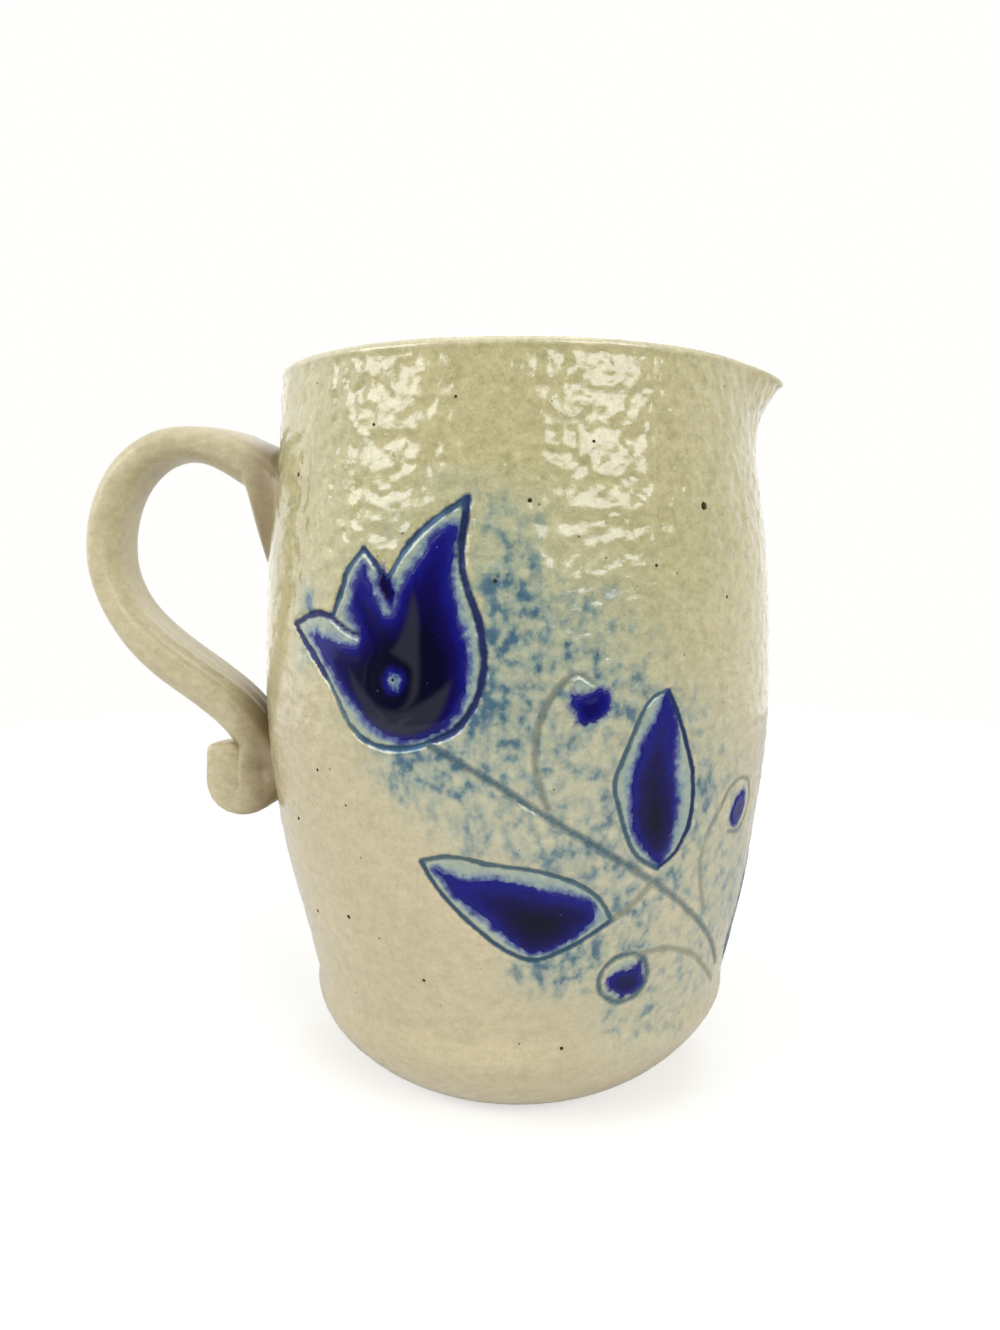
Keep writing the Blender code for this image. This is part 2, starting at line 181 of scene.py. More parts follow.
# Edges of the cobalt pools, by the names of their solids
POOLS = {
    "cobalt_tulip": (
        (-8.0, 85.3, TIP), (-11.0, 84.0), (-13.1, 80.9), (-15.6, 77.4), (-17.0, 73.9), (-18.9, 75.1),
        (-20.1, 77.6), (-21.3, 80.3, TIP), (-22.8, 77.6), (-23.4, 74.6), (-21.9, 71.8), (-22.2, 69.9),
        (-26.3, 70.2), (-31.0, 70.9, TIP), (-27.2, 67.0), (-22.0, 61.7), (-16.8, 58.6), (-12.0, 58.8),
        (-8.0, 62.3), (-6.7, 68.2), (-8.0, 74.3), (-8.8, 80.0),
    ),
    "cobalt_petal_notch": (
        (-18.0, 80.3, TIP), (-18.9, 78.4), (-18.5, 76.8), (-16.8, 74.9, TIP), (-16.6, 77.5),
    ),
    "cobalt_leaf_low": (
        (-11.5, 41.4, TIP), (-6.7, 40.2), (-2.3, 40.4), (2.0, 39.4), (6.5, 38.1), (10.0, 36.0), (8.2, 32.9),
        (4.6, 31.0), (1.6, 30.2), (-1.0, 31.3), (-5.0, 35.0), (-8.6, 37.9),
    ),
    "cobalt_leaf_high": (
        (19.4, 64.3, TIP), (18.0, 61.3), (16.3, 58.4), (14.8, 54.5), (14.6, 50.0), (15.3, 46.0),
        (19.5, 41.0, TIP), (21.2, 44.2), (21.6, 48.8), (20.7, 54.0), (20.8, 60.0),
    ),
    "cobalt_leaf_far": (
        (53.0, 41.0, TIP), (49.6, 36.4), (46.0, 31.0), (44.6, 25.6), (46.6, 21.6, TIP), (51.4, 27.5),
        (53.4, 35.5),
    ),
    "cobalt_bud_high": (
        (6.0, 64.8, TIP), (6.9, 64.1), (8.2, 64.7), (9.5, 65.2), (10.7, 64.6, TIP), (10.9, 63.1),
        (10.2, 61.7), (8.9, 60.8), (7.3, 60.9), (6.5, 62.5),
    ),
    "cobalt_bud_low": (
        (13.0, 24.6), (13.9, 26.0), (15.6, 26.2), (16.8, 26.3), (17.6, 27.3, TIP), (18.2, 25.7),
        (19.2, 23.6, TIP), (18.1, 22.7), (16.1, 22.2), (14.3, 22.9),
    ),
    "cobalt_bud_far": (
        (33.9, 45.6), (35.0, 47.4), (37.2, 48.2, TIP), (38.4, 46.0), (36.8, 44.0), (34.8, 43.8),
    ),
}

# Waves of a pool's frayed edge: length along the edge and reach in millimetres, how far they drift, and
# their shift from pool to pool
FRAY_WAVES = ((3.7, 0.13), (2.1, 0.1), (1.2, 0.06))
FRAY_DRIFT = 2.2
FRAY_PHASE = 2.4

# How far the glass stays inside the drawn edge, which the bleeding cobalt reaches
POOL_INSET = 0.08

# Sizes of the glass: its plate, how far it lies under the hollow and swells at the top, and its ripples
PLATE_THICKNESS = 0.7 * MM
GLASS_DROP = 0.035 * MM
GLASS_EDGE_RISE = 0.02 * MM
GLASS_SWELL = 0.12 * MM
RIPPLE_HEIGHT = 0.05 * MM
SOFTENING_ROUNDS = 14

# How fast the glass darkens away from its edge: at its upper end, and how much more at its lower end
PLAIN_DEEPENING = (0.5, 2.0)
GLASS_DEEPENING = {
    "cobalt_tulip": (0.6, 1.6), "cobalt_petal_notch": (10.0, 0.0), "cobalt_bud_high": (1.0, 1.0),
    "cobalt_bud_low": (1.4, 1.0), "cobalt_bud_far": (0.7, 0.5),
}

# Incised strokes: half width, depth share, tint from 0, a groove of painted shade with little cobalt, to navy
# 1, then the points
STROKES = (
    (0.66, 1.0, 1.0, ((-34.9, 72.4), (-32.2, 73.5), (-29.5, 73.7), (-26.4, 73.2))),
    (0.56, 1.0, 0.9, ((-26.4, 73.2), (-23.9, 71.8), (-21.5, 71.0))),
    (0.54, 0.9, 0.6, ((-26.4, 73.4), (-25.1, 76.4), (-23.8, 79.5), (-21.3, 82.3))),
    (0.54, 0.9, 0.8, ((-21.3, 82.3), (-18.9, 79.9), (-17.6, 78.2))),
    (0.6, 1.0, 0.62, ((-17.6, 78.2), (-16.6, 80.6), (-13.8, 83.7), (-10.5, 86.9), (-6.9, 88.6))),
    (0.7, 1.0, 0.9, (
        (-6.9, 88.6), (-6.5, 86.0), (-7.5, 80.7), (-6.7, 75.9), (-5.0, 72.1), (-4.5, 69.7), (-4.8, 66.4),
        (-5.9, 63.1), (-7.7, 60.5), (-11.2, 58.4))),
    (0.52, 1.0, 0.6, ((-11.2, 58.4), (-15.3, 57.2), (-19.4, 57.3), (-22.2, 58.6))),
    (0.44, 0.9, 0.5, ((-22.2, 58.6), (-25.0, 62.1), (-27.4, 65.3))),
    (0.62, 1.0, 1.0, ((-27.4, 65.3), (-30.5, 68.6), (-34.9, 71.6))),
    (0.58, 0.7, 0.42, ((-11.5, 57.9), (-4.9, 54.3), (1.3, 50.2), (7.8, 46.0), (15.2, 41.2))),
    (0.6, 0.8, 0.36, ((15.2, 41.2), (20.5, 37.5), (27.1, 32.2), (31.5, 28.3), (34.5, 25.7), (38.9, 21.3))),
    (0.54, 0.6, 0.3, ((3.2, 50.1), (1.7, 56.1), (2.2, 61.1), (4.3, 65.2), (6.8, 67.0), (8.8, 65.9))),
    (0.42, 0.9, 0.52, (
        (19.4, 64.4), (16.9, 63.5), (14.6, 59.8), (12.9, 55.8), (11.9, 53.1), (12.7, 49.5), (14.5, 44.6),
        (15.7, 42.9), (19.3, 40.5))),
    (0.46, 0.9, 0.8, (
        (19.4, 64.4), (20.9, 61.7), (22.2, 58.2), (23.6, 54.2), (24.3, 50.1), (24.1, 46.7), (22.9, 43.3),
        (21.4, 41.4), (19.3, 40.5))),
    (0.42, 0.9, 0.5, (
        (-13.4, 42.5), (-9.3, 43.4), (-4.5, 42.7), (-0.9, 42.1), (4.0, 41.2), (7.6, 39.8), (10.1, 37.9),
        (11.5, 36.0), (12.5, 34.2))),
    (0.42, 0.9, 0.58, (
        (12.5, 34.2), (8.1, 31.8), (4.4, 30.0), (1.2, 29.2), (-1.9, 30.2), (-5.6, 32.9), (-9.0, 36.3),
        (-11.4, 39.0), (-13.4, 42.5))),
    (0.52, 0.5, 0.26, ((12.5, 34.2), (15.4, 36.0), (18.2, 38.4))),
    (0.5, 0.7, 0.45, (
        (19.4, 25.2), (17.8, 27.9), (14.8, 28.8), (11.9, 27.3), (11.2, 24.4), (13.2, 22.0), (16.6, 21.4),
        (19.0, 23.0), (19.4, 25.2))),
    (0.54, 0.6, 0.26, ((17.6, 28.4), (22.0, 28.4), (25.4, 27.2), (28.2, 26.0), (33.1, 22.6), (39.1, 18.3))),
    (0.4, 0.6, 0.32, (
        (30.9, 47.3), (33.0, 49.6), (36.4, 50.2), (39.6, 48.4), (39.8, 44.6), (37.2, 42.4), (33.8, 42.9))),
    (0.5, 0.5, 0.24, ((30.9, 47.3), (29.1, 45.1), (27.6, 41.5), (27.9, 37.1), (29.5, 32.6))),
    (0.5, 0.9, 0.7, (
        (53.6, 43.4), (51.0, 39.4), (47.4, 35.4), (44.4, 31.0), (43.0, 25.4), (45.8, 19.8), (50.8, 22.8),
        (54.2, 28.6), (55.2, 36.0), (53.6, 43.4))),
)

# A fired stroke beside the tool's mark, and how far in millimetres a stroke may stray from a closed outline
# and still belong to it
STROKE_SPREAD = 0.98
LOOSE_GAP = 0.9

# Round hollows of the buds: middle across and up, half width and half height, and their depth beside the
# other hollows
BUD_HOLLOW_SHARE = 0.4
BUD_HOLLOWS = ((8.6, 63.4, 3.4, 3.5), (15.8, 24.9, 4.2, 3.6), (36.6, 46.0, 3.8, 3.7))

# Where the hollows grow shallower as the wall turns away to the side, and by how much
SIDE_START = 27.0
SIDE_END = 40.0
SIDE_SHALLOWING = 0.62

# Closed outlines whose inside is hollowed towards the pools
HOLLOWS = {
    "tulip": (
        (-34.9, 72.0, TIP), (-29.5, 73.7), (-26.4, 73.4, TIP), (-25.1, 76.4), (-23.8, 79.5),
        (-21.3, 82.3, TIP), (-18.9, 79.9), (-17.6, 78.2, TIP), (-13.8, 83.7), (-6.9, 88.6, TIP), (-7.5, 80.7),
        (-5.0, 72.1), (-4.8, 66.4), (-7.7, 60.5), (-11.2, 58.4), (-15.3, 57.2), (-19.4, 57.3), (-22.2, 58.6),
        (-27.4, 65.3),
    ),
    "leaf_low": (
        (-13.4, 42.5, TIP), (-9.3, 43.4), (-4.5, 42.7), (4.0, 41.2), (10.1, 37.9), (12.5, 34.2, TIP),
        (4.4, 30.0), (1.2, 29.2), (-1.9, 30.2), (-5.6, 32.9), (-11.4, 39.0),
    ),
    "leaf_high": (
        (19.4, 64.4, TIP), (16.9, 63.5), (14.6, 59.8), (12.9, 55.8), (11.9, 53.1), (12.7, 49.5), (14.5, 44.6),
        (15.7, 42.9), (19.3, 40.5, TIP), (22.9, 43.3), (24.3, 50.1), (22.2, 58.2),
    ),
    "leaf_far": (
        (53.6, 43.4, TIP), (47.4, 35.4), (44.4, 31.0), (43.0, 25.4), (45.8, 19.8, TIP), (54.2, 28.6),
        (55.2, 36.0),
    ),
}

# Patches where cobalt fumed into the pits of the glaze: across, up, radius, strength
WASHES = (
    (6.0, 58.0, 20.0, 0.36), (20.0, 40.0, 18.0, 0.34), (38.0, 34.0, 15.0, 0.4), (-6.0, 52.0, 9.0, 0.4),
    (-2.5, 84.0, 4.0, 0.6), (-2.5, 78.0, 4.5, 0.9), (-2.0, 72.0, 5.0, 1.0), (-2.5, 65.5, 4.5, 1.0),
    (-1.0, 61.0, 5.0, 1.0), (-5.5, 59.0, 4.0, 1.0), (-2.3, 56.4, 5.0, 0.85), (-8.0, 55.3, 4.5, 0.95),
    (-14.8, 54.4, 4.5, 1.0), (-5.5, 50.8, 5.0, 0.6), (4.0, 69.5, 6.0, 0.85), (6.0, 73.0, 6.0, 0.65),
    (8.0, 66.0, 6.0, 0.7), (13.0, 65.0, 5.0, 0.6), (13.0, 62.0, 4.0, 0.5), (4.8, 56.5, 5.0, 0.55),
    (5.2, 51.5, 5.0, 0.5), (9.0, 58.0, 5.0, 0.5), (25.8, 51.8, 4.0, 0.8), (26.2, 47.0, 4.0, 0.85),
    (22.3, 39.5, 4.0, 0.8), (22.8, 61.6, 4.0, 0.65), (28.0, 58.0, 5.0, 0.5), (-31.9, 75.3, 3.0, 1.0),
    (-32.5, 67.5, 3.0, 0.65), (7.7, 42.3, 4.5, 0.75), (2.0, 43.9, 4.5, 0.65), (13.4, 39.4, 4.0, 0.8),
    (8.5, 29.8, 4.5, 1.0), (4.8, 27.5, 5.0, 1.0), (0.4, 27.1, 4.0, 0.85), (16.5, 34.7, 5.0, 0.8),
    (16.9, 28.5, 4.0, 0.8), (21.0, 19.5, 5.0, 0.75), (-4.9, 88.0, 4.0, 0.5), (1.0, 86.0, 4.5, 0.55),
    (-10.0, 91.0, 4.0, 0.5), (-16.5, 85.3, 4.0, 0.5), (-24.0, 80.5, 4.0, 0.4), (12.0, 74.0, 6.0, 0.3),
    (18.0, 70.0, 6.0, 0.25), (10.0, 50.0, 5.0, 0.45), (33.0, 52.0, 5.0, 0.5), (30.0, 40.0, 5.0, 0.55),
    (33.0, 30.0, 7.0, 0.55), (27.0, 24.0, 6.0, 0.6), (38.0, 38.0, 6.0, 0.55), (44.0, 30.0, 8.0, 0.65),
    (50.0, 48.0, 7.0, 0.45), (56.0, 34.0, 7.0, 0.5), (-19.0, 55.5, 4.0, 0.4), (-25.0, 59.5, 3.0, 0.35),
    (13.0, 20.5, 4.0, 0.75), (16.0, 15.0, 5.0, 0.5), (26.0, 14.0, 6.0, 0.5), (36.0, 18.0, 7.0, 0.55),
    (10.0, 79.0, 5.0, 0.25), (0.5, 76.0, 4.5, 0.7), (0.0, 80.5, 3.5, 0.6), (-12.0, 53.4, 4.5, 1.0),
    (-5.0, 46.0, 6.0, 0.45), (10.5, 46.0, 5.0, 0.6),
)

# Larger iron spots in the clay: across, up, radius
IRON_SPOTS = (
    (26.7, 87.5, 0.62), (0.9, 88.0, 0.34), (-20.6, 98.0, 0.26), (-27.6, 31.6, 0.36), (-3.4, 78.4, 0.3),
    (9.4, 95.2, 0.24), (30.4, 76.0, 0.26), (-8.6, 100.6, 0.22), (17.6, 80.2, 0.24), (-30.2, 52.4, 0.26),
    (6.2, 15.5, 0.3), (-15.2, 24.6, 0.28), (70.0, 66.0, 0.4), (96.0, 84.0, 0.34), (84.0, 40.0, 0.3),
    (112.0, 58.0, 0.42), (-62.0, 30.0, 0.3), (-90.0, 92.0, 0.36), (-104.0, 44.0, 0.3), (60.0, 94.0, 0.28),
)

# Burst bubble in the tulip's pool, with a raised rim and a pit
EYE = (-16.7, 65.8)
EYE_RISE = 0.07 * MM
EYE_PIT = 0.25 * MM

# Painted reflections in the tulip's glass: a grey streak and a crescent
PAINTED_REFLECTIONS = (
    (
        (-13.9, 77.0, TIP), (-13.2, 74.2), (-13.1, 70.4), (-13.0, 66.6), (-13.3, 64.0), (-14.8, 62.0, TIP),
        (-15.9, 61.9, TIP), (-14.6, 63.2), (-14.0, 65.6), (-14.1, 67.5), (-15.6, 68.5), (-17.0, 69.4, TIP),
        (-16.1, 70.6), (-15.0, 72.9), (-14.4, 75.0),
    ),
    (
        (-23.6, 66.8, TIP), (-20.6, 63.8), (-18.4, 62.2), (-15.3, 62.0), (-12.9, 63.0), (-11.1, 64.1),
        (-8.8, 66.0, TIP), (-9.4, 63.6), (-11.1, 60.6), (-13.5, 59.2), (-16.0, 58.8), (-18.4, 59.4),
        (-20.9, 61.6), (-22.8, 64.6),
    ),
)

# Ripples that stand on the tulip's glass, as open curves
RIPPLES = (
    (
        (-22.4, 75.0), (-20.8, 72.4), (-19.6, 69.6), (-20.6, 66.6), (-20.4, 63.8), (-17.8, 61.2),
    ),
    (
        (-13.4, 78.4), (-12.9, 74.0), (-12.3, 70.0), (-12.0, 66.0), (-13.0, 62.6), (-15.4, 61.0),
    ),
)

# Tones, shine, fine relief and speck sizes that are not among the settings
PEPPER_COLOUR = (0.035, 0.026, 0.018)
EYE_CLAY_COLOUR = (0.19, 0.27, 0.31)
EYE_PIT_COLOUR = (0.01, 0.012, 0.05)
# Painted glints of small bubbles in the glass
BUBBLE_GLINT_COLOUR = (0.2, 0.22, 0.4)
IRON_COLOURS = ((0.012, 0.008, 0.003), (0.06, 0.04, 0.015))
GLASS_SHINE = 0.16
IRON_SHINE = 0.15
WALL_RELIEF = 0.06 * MM
STRAP_RELIEF = 0.03 * MM
SPECK_FLATNESS = 0.35
SMALLEST_SPECK = 0.05 * MM
LARGEST_SPECK = 0.14 * MM

# Floor, surroundings and lens
STAGE_RADIUS = 0.34
STAGE_SIDES = 96
FLOOR_ROUGHNESS = 0.9
FLOOR_SHINE = 0.1
WHITE = (1.0, 1.0, 1.0)
FLOOR_GRAIN_COLOUR = (0.8, 0.79, 0.77)
FLOOR_LIFT_COLOUR = (1.0, 0.995, 0.93)
SURROUND_COLOUR = (1.0, 0.995, 0.98)
LAMP_COLOUR = (0.97, 0.985, 1.0)
LAMP_AIM = BODY_HEIGHT * 0.75
SENSOR = 36.0
IMAGE_WIDTH = 1000.0
IMAGE_HEIGHT = 1330.0
NEAREST_SEEN = 0.005

# Soft boxes: degrees round from the front and up, distance, width, height and share of the lamp level
SOFT_BOXES = {
    "left_soft_box": (-63.0, 25.0, 0.9, 0.54, 0.36, 1.0),
    "right_soft_box": (37.0, 25.0, 0.9, 0.62, 0.36, 1.0),
    "left_fill_box": (-102.0, 10.0, 1.2, 1.0, 0.8, 0.1),
    "top_soft_box": (20.0, 82.0, 1.0, 0.8, 0.8, 0.25),
    "back_soft_box": (165.0, 40.0, 1.1, 0.7, 0.6, 0.3),
}

# Kinds of sockets
NUMBER = "NodeSocketFloat"
COLOUR = "NodeSocketColor"
GEOMETRY = "NodeSocketGeometry"


def bezier(knots, steps):
    """Points of one Bezier stretch in a plane."""
    along = np.linspace(0.0, 1.0, steps + 1)[:, None]
    first, second, third, last = (np.asarray(knot, float) for knot in knots)
    back = 1.0 - along
    return back**3 * first + 3 * back**2 * along * second + 3 * back * along**2 * third + along**3 * last


def ease(values, low, high):
    """Smooth step from 0 at low to 1 at high."""
    share = np.clip((np.asarray(values, float) - low) / (high - low), 0.0, 1.0)
    return share * share * (3.0 - 2.0 * share)


def bell(away, reach):
    """Soft hump that is 1 in its middle and fades over a reach."""
    return np.exp(-((away / reach) ** 2))


def path_length(path):
    """Length of a path from its start to each of its points."""
    return np.concatenate([[0.0], np.cumsum(np.hypot(*np.diff(path, axis=0).T))])


def along_path(path, places):
    """Points of a path at the given lengths from its start."""
    length = path_length(path)
    return np.stack([np.interp(places, length, path[:, 0]), np.interp(places, length, path[:, 1])], 1)


def wall_outline():
    """Radius and height of the outer wall, from the edge of the flat base to the start of the rim."""
    stretches = (
        (40, (BASE_RADIUS, 0.0), (24.36 * MM, 0.0), (FOOT_RADIUS, 8.76 * MM), (FOOT_RADIUS, FOOT_HEIGHT)),
        (40, (FOOT_RADIUS, FOOT_HEIGHT), (FOOT_RADIUS, 19.2 * MM), (34.6 * MM, 23.1 * MM),
         (WAIST_RADIUS, WAIST_HEIGHT)),
        (60, (WAIST_RADIUS, WAIST_HEIGHT), (37.43 * MM, 36.0 * MM), (BELLY_RADIUS, 45.4 * MM),
         (BELLY_RADIUS, BELLY_HEIGHT)),
        (60, (BELLY_RADIUS, BELLY_HEIGHT), (BELLY_RADIUS, 78.0 * MM), (36.2 * MM, 96.0 * MM),
         (RIM_RADIUS, RIM_BASE)),
    )
    lines = [bezier(knots, steps)[:-1] for steps, *knots in stretches]
    wall = np.concatenate([*lines, [(RIM_RADIUS, RIM_BASE)]])
    wall[:, 0] -= CREASE_DEPTH * bell(wall[:, 1] - CREASE_HEIGHT, CREASE_REACH)
    return wall


WALL = wall_outline()


def wall_radius(height):
    """Outer radius of the turned body at a height."""
    return np.interp(height, WALL[:, 1], WALL[:, 0])


def inside_radius(height):
    """Inner radius of the wall, which thins from the belly to the rim."""
    thinning = np.clip((height - BELLY_HEIGHT) / (RIM_BASE - BELLY_HEIGHT), 0.0, 1.0)
    return wall_radius(height) - WALL_THICKNESS - (RIM_THICKNESS - WALL_THICKNESS) * thinning


def even_steps(low, high, step):
    """Values from low to high, about a step apart, without the last one."""
    return np.linspace(low, high, max(int(round((high - low) / step)), 1), endpoint=False)


def outer_rows():
    """Radius and height of the rows of the outer wall, from the base's edge over the rim's top."""
    foot = WALL[WALL[:, 1] < FOOT_HEIGHT]
    foot_rows = along_path(foot, even_steps(0.0, path_length(foot)[-1], FOOT_ROW))
    heights = np.concatenate([
        even_steps(FOOT_HEIGHT, FINE_LOW, RIM_ROW),
        even_steps(FINE_LOW, SPRAY_HIGH * MM, FINE_ROW),
        even_steps(SPRAY_HIGH * MM, RIM_BASE, RIM_ROW),
    ])
    groove = GROOVE_DEPTH * bell(heights - GROOVE_HEIGHT, GROOVE_REACH)
    wall_rows = np.stack([wall_radius(heights) - groove, heights], 1)
    half = RIM_THICKNESS / 2
    turn = np.radians(np.linspace(0.0, 180.0, 15))
    rim_rows = np.stack([RIM_RADIUS - half + half * np.cos(turn), RIM_BASE + half * np.sin(turn)], 1)
    return np.concatenate([foot_rows, wall_rows, rim_rows])


def inner_rows():
    """Radius and height of the rows inside the jug, from under the rim to the edge of the floor."""
    heights = even_steps(RIM_BASE, BOWL_TOP, -INSIDE_ROW)[1:]
    wall_rows = np.stack([inside_radius(heights), heights], 1)
    bowl_radius = inside_radius(BOWL_TOP)
    slope = (bowl_radius - inside_radius(BOWL_TOP - WALL_THICKNESS)) / WALL_THICKNESS
    rise = (BOWL_TOP - FLOOR_THICKNESS) / 2
    bowl = bezier(
        ((bowl_radius, BOWL_TOP), (bowl_radius - slope * rise, BOWL_TOP - rise),
         ((FLOOR_RADIUS + bowl_radius) / 2, FLOOR_THICKNESS), (FLOOR_RADIUS, FLOOR_THICKNESS)), 12)
    floor = [(FLOOR_RADIUS * share, FLOOR_THICKNESS) for share in (0.75, 0.5, 0.25)]
    return np.concatenate([wall_rows, bowl, floor])


def column_angles():
    """Angles of the body's columns from the front: close together where the spray is drawn."""
    start = SPRAY_LEFT * MM / BELLY_RADIUS
    end = SPRAY_RIGHT * MM / BELLY_RADIUS
    fine = np.linspace(start, end, FINE_COLUMNS, endpoint=False)
    coarse = np.linspace(end, start + 2 * math.pi, COARSE_COLUMNS, endpoint=False)
    return np.concatenate([fine, coarse])


def on_turn(radius, angle, height):
    """Points on the jug from radius, angle from the front and height."""
    level = np.broadcast_to(height, angle.shape)
    return np.stack([radius * np.sin(angle), -radius * np.cos(angle), level], -1)


def pulled_lip(points):
    """Draw the rim out towards +X into a short pouring beak."""
    rise = np.clip((points[:, 2] - BODY_HEIGHT + LIP_DEPTH) / LIP_DEPTH, 0.0, 1.0)
    across = RIM_RADIUS * (np.arctan2(points[:, 1], points[:, 0]) + LIP_TURN)
    share = 0.5 ** ((2 * across / LIP_WIDTH) ** 2) * rise**2
    radius = np.maximum(np.hypot(points[:, 0], points[:, 1]), MM)
    pulled = points.copy()
    pulled[:, :2] *= (1.0 + LIP_REACH * share / radius)[:, None]
    pulled[:, 2] -= LIP_DROOP * share
    return pulled


def settled(points):
    """Slight lean of the foot and ovals of the belly and the rim, as the thrown wall settled."""
    height = points[:, 2]
    lean = FOOT_LEAN * ease(height, 6.0 * MM, 15.0 * MM) * ease(height, 42.0 * MM, 26.0 * MM)
    oval = BELLY_OVAL * ease(height, 36.0 * MM, 58.0 * MM) * ease(height, 97.0 * MM, 80.0 * MM)
    oval = oval + RIM_OVAL * ease(height, 90.0 * MM, 101.0 * MM) * (points[:, 0] < 0)
    moved = points.copy()
    moved[:, 0] += lean + oval * np.clip(points[:, 0] / BELLY_RADIUS, -1.0, 1.0)
    return moved


def ring_faces(first, second, count):
    """Faces between two rings of the same count; the second ring follows the first up the wall."""
    faces = []
    for side in range(count):
        beside = (side + 1) % count
        faces.append((first + side, first + beside, second + beside, second + side))
    return faces


def thinning_faces(full, half, count):
    """Faces between a full ring and the ring of half its count that follows it."""
    faces = []
    for side in range(count):
        left, middle, right = full + 2 * side, full + 2 * side + 1, full + (2 * side + 2) % (2 * count)
        under, beside = half + side, half + (side + 1) % count
        faces += [(left, middle, under), (middle, beside, under), (middle, right, beside)]
    return faces


def fan_faces(ring, count, pole, upwards):
    """Faces that close a ring with one point in its middle."""
    faces = []
    for side in range(count):
        beside = ring + (side + 1) % count
        faces.append((ring + side, beside, pole) if upwards else (beside, ring + side, pole))
    return faces


def handle_of(places, tips, index, towards, closed):
    """Bezier handle of one drawn point on the side of a neighbour."""
    count = len(places)
    here = places[index]
    if tips[index] or (not closed and index in (0, count - 1)):
        return here + (places[(index + towards) % count] - here) / 3
    before = here - places[index - 1]
    after = places[(index + 1) % count] - here
    before_length, after_length = np.hypot(*before), np.hypot(*after)
    lean = after / after_length + before / before_length
    reach = after_length if towards > 0 else before_length
    return here + towards * lean * reach / (np.hypot(*lean) * ROUND_EASE)


def drawn_curve(points, closed, steps=8):
    """Smooth curve through drawn points; a tip keeps its corner."""
    places = np.array([point[:2] for point in points], float)
    tips = [TIP in point[2:] for point in points]
    count = len(places)
    stretches = []
    for index in range(count if closed else count - 1):
        following = (index + 1) % count
        knots = (
            places[index],
            handle_of(places, tips, index, 1, closed),
            handle_of(places, tips, following, -1, closed),
            places[following],
        )
        stretches.append(bezier(knots, steps)[:-1])
    stretches.append(places[:1] if closed else places[-1:])
    return np.concatenate(stretches)


def round_outline(across, up, half_width, half_height):
    """Four round points of an ellipse."""
    return (
        (across + half_width, up), (across, up + half_height),
        (across - half_width, up), (across, up - half_height),
    )


def even_path(path, step):
    """Closed drawn path with points about a step apart, without the repeated last one."""
    length = path_length(path)[-1]
    return along_path(path, np.linspace(0.0, length, int(length / step), endpoint=False))


def frayed_path(path, phase):
    """Closed drawn path whose edge wanders in short waves, as cobalt runs in the glaze."""
    even = even_path(path, FRAY_STEP)
    way = np.roll(even, -1, 0) - np.roll(even, 1, 0)
    aside = np.stack([way[:, 1], -way[:, 0]], 1) / np.maximum(np.hypot(*way.T), 1e-9)[:, None]
    ahead = np.roll(even, -1, 0)
    aside *= np.sign((even[:, 0] * ahead[:, 1] - ahead[:, 0] * even[:, 1]).sum())
    share = np.arange(len(even)) / len(even)
    wander = np.full(len(even), -POOL_INSET)
    for wave, reach in FRAY_WAVES:
        turns = round(len(even) * FRAY_STEP / wave)
        drift = FRAY_DRIFT * np.sin(2 * math.pi * round(turns / 3) * share + phase)
        wander += reach * np.sin(2 * math.pi * turns * share + phase * wave + drift)
    frayed = even + aside * wander[:, None]
    return np.concatenate([frayed, frayed[:1]])


def pool_outlines():
    """Frayed outline of every cobalt pool, by the name of its solid."""
    return {
        name: frayed_path(drawn_curve(points, True), 1.0 + FRAY_PHASE * index)
        for index, (name, points) in enumerate(POOLS.items())
    }


def gap_to(path, places):
    """Distance of each place to a drawn path, in millimetres."""
    nearest = np.full(len(places), np.inf)
    for start, end in zip(path[:-1], path[1:]):
        step = end - start
        size = max(float(step @ step), 1e-9)
        offset = places - start
        share = np.clip(offset @ step / size, 0.0, 1.0)
        nearest = np.minimum(nearest, np.hypot(*(offset - share[:, None] * step).T))
    return nearest


def lies_inside(path, places):
    """True for the places inside a closed drawn path."""
    inside = np.zeros(len(places), bool)
    for (x0, y0), (x1, y1) in zip(path[:-1], path[1:]):
        if y0 == y1:
            continue
        crosses = (y0 > places[:, 1]) != (y1 > places[:, 1])
        inside ^= crosses & (places[:, 0] < x0 + (places[:, 1] - y0) * (x1 - x0) / (y1 - y0))
    return inside


def signed_gap(path, places):
    """Distance to a closed path, negative inside it."""
    return np.where(lies_inside(path, places), -1.0, 1.0) * gap_to(path, places)


def hollow_share(across):
    """How deep the drawn shapes are hollowed: less where the wall turns away to the side."""
    return 1.0 - SIDE_SHALLOWING * ease(across, SIDE_START, SIDE_END)


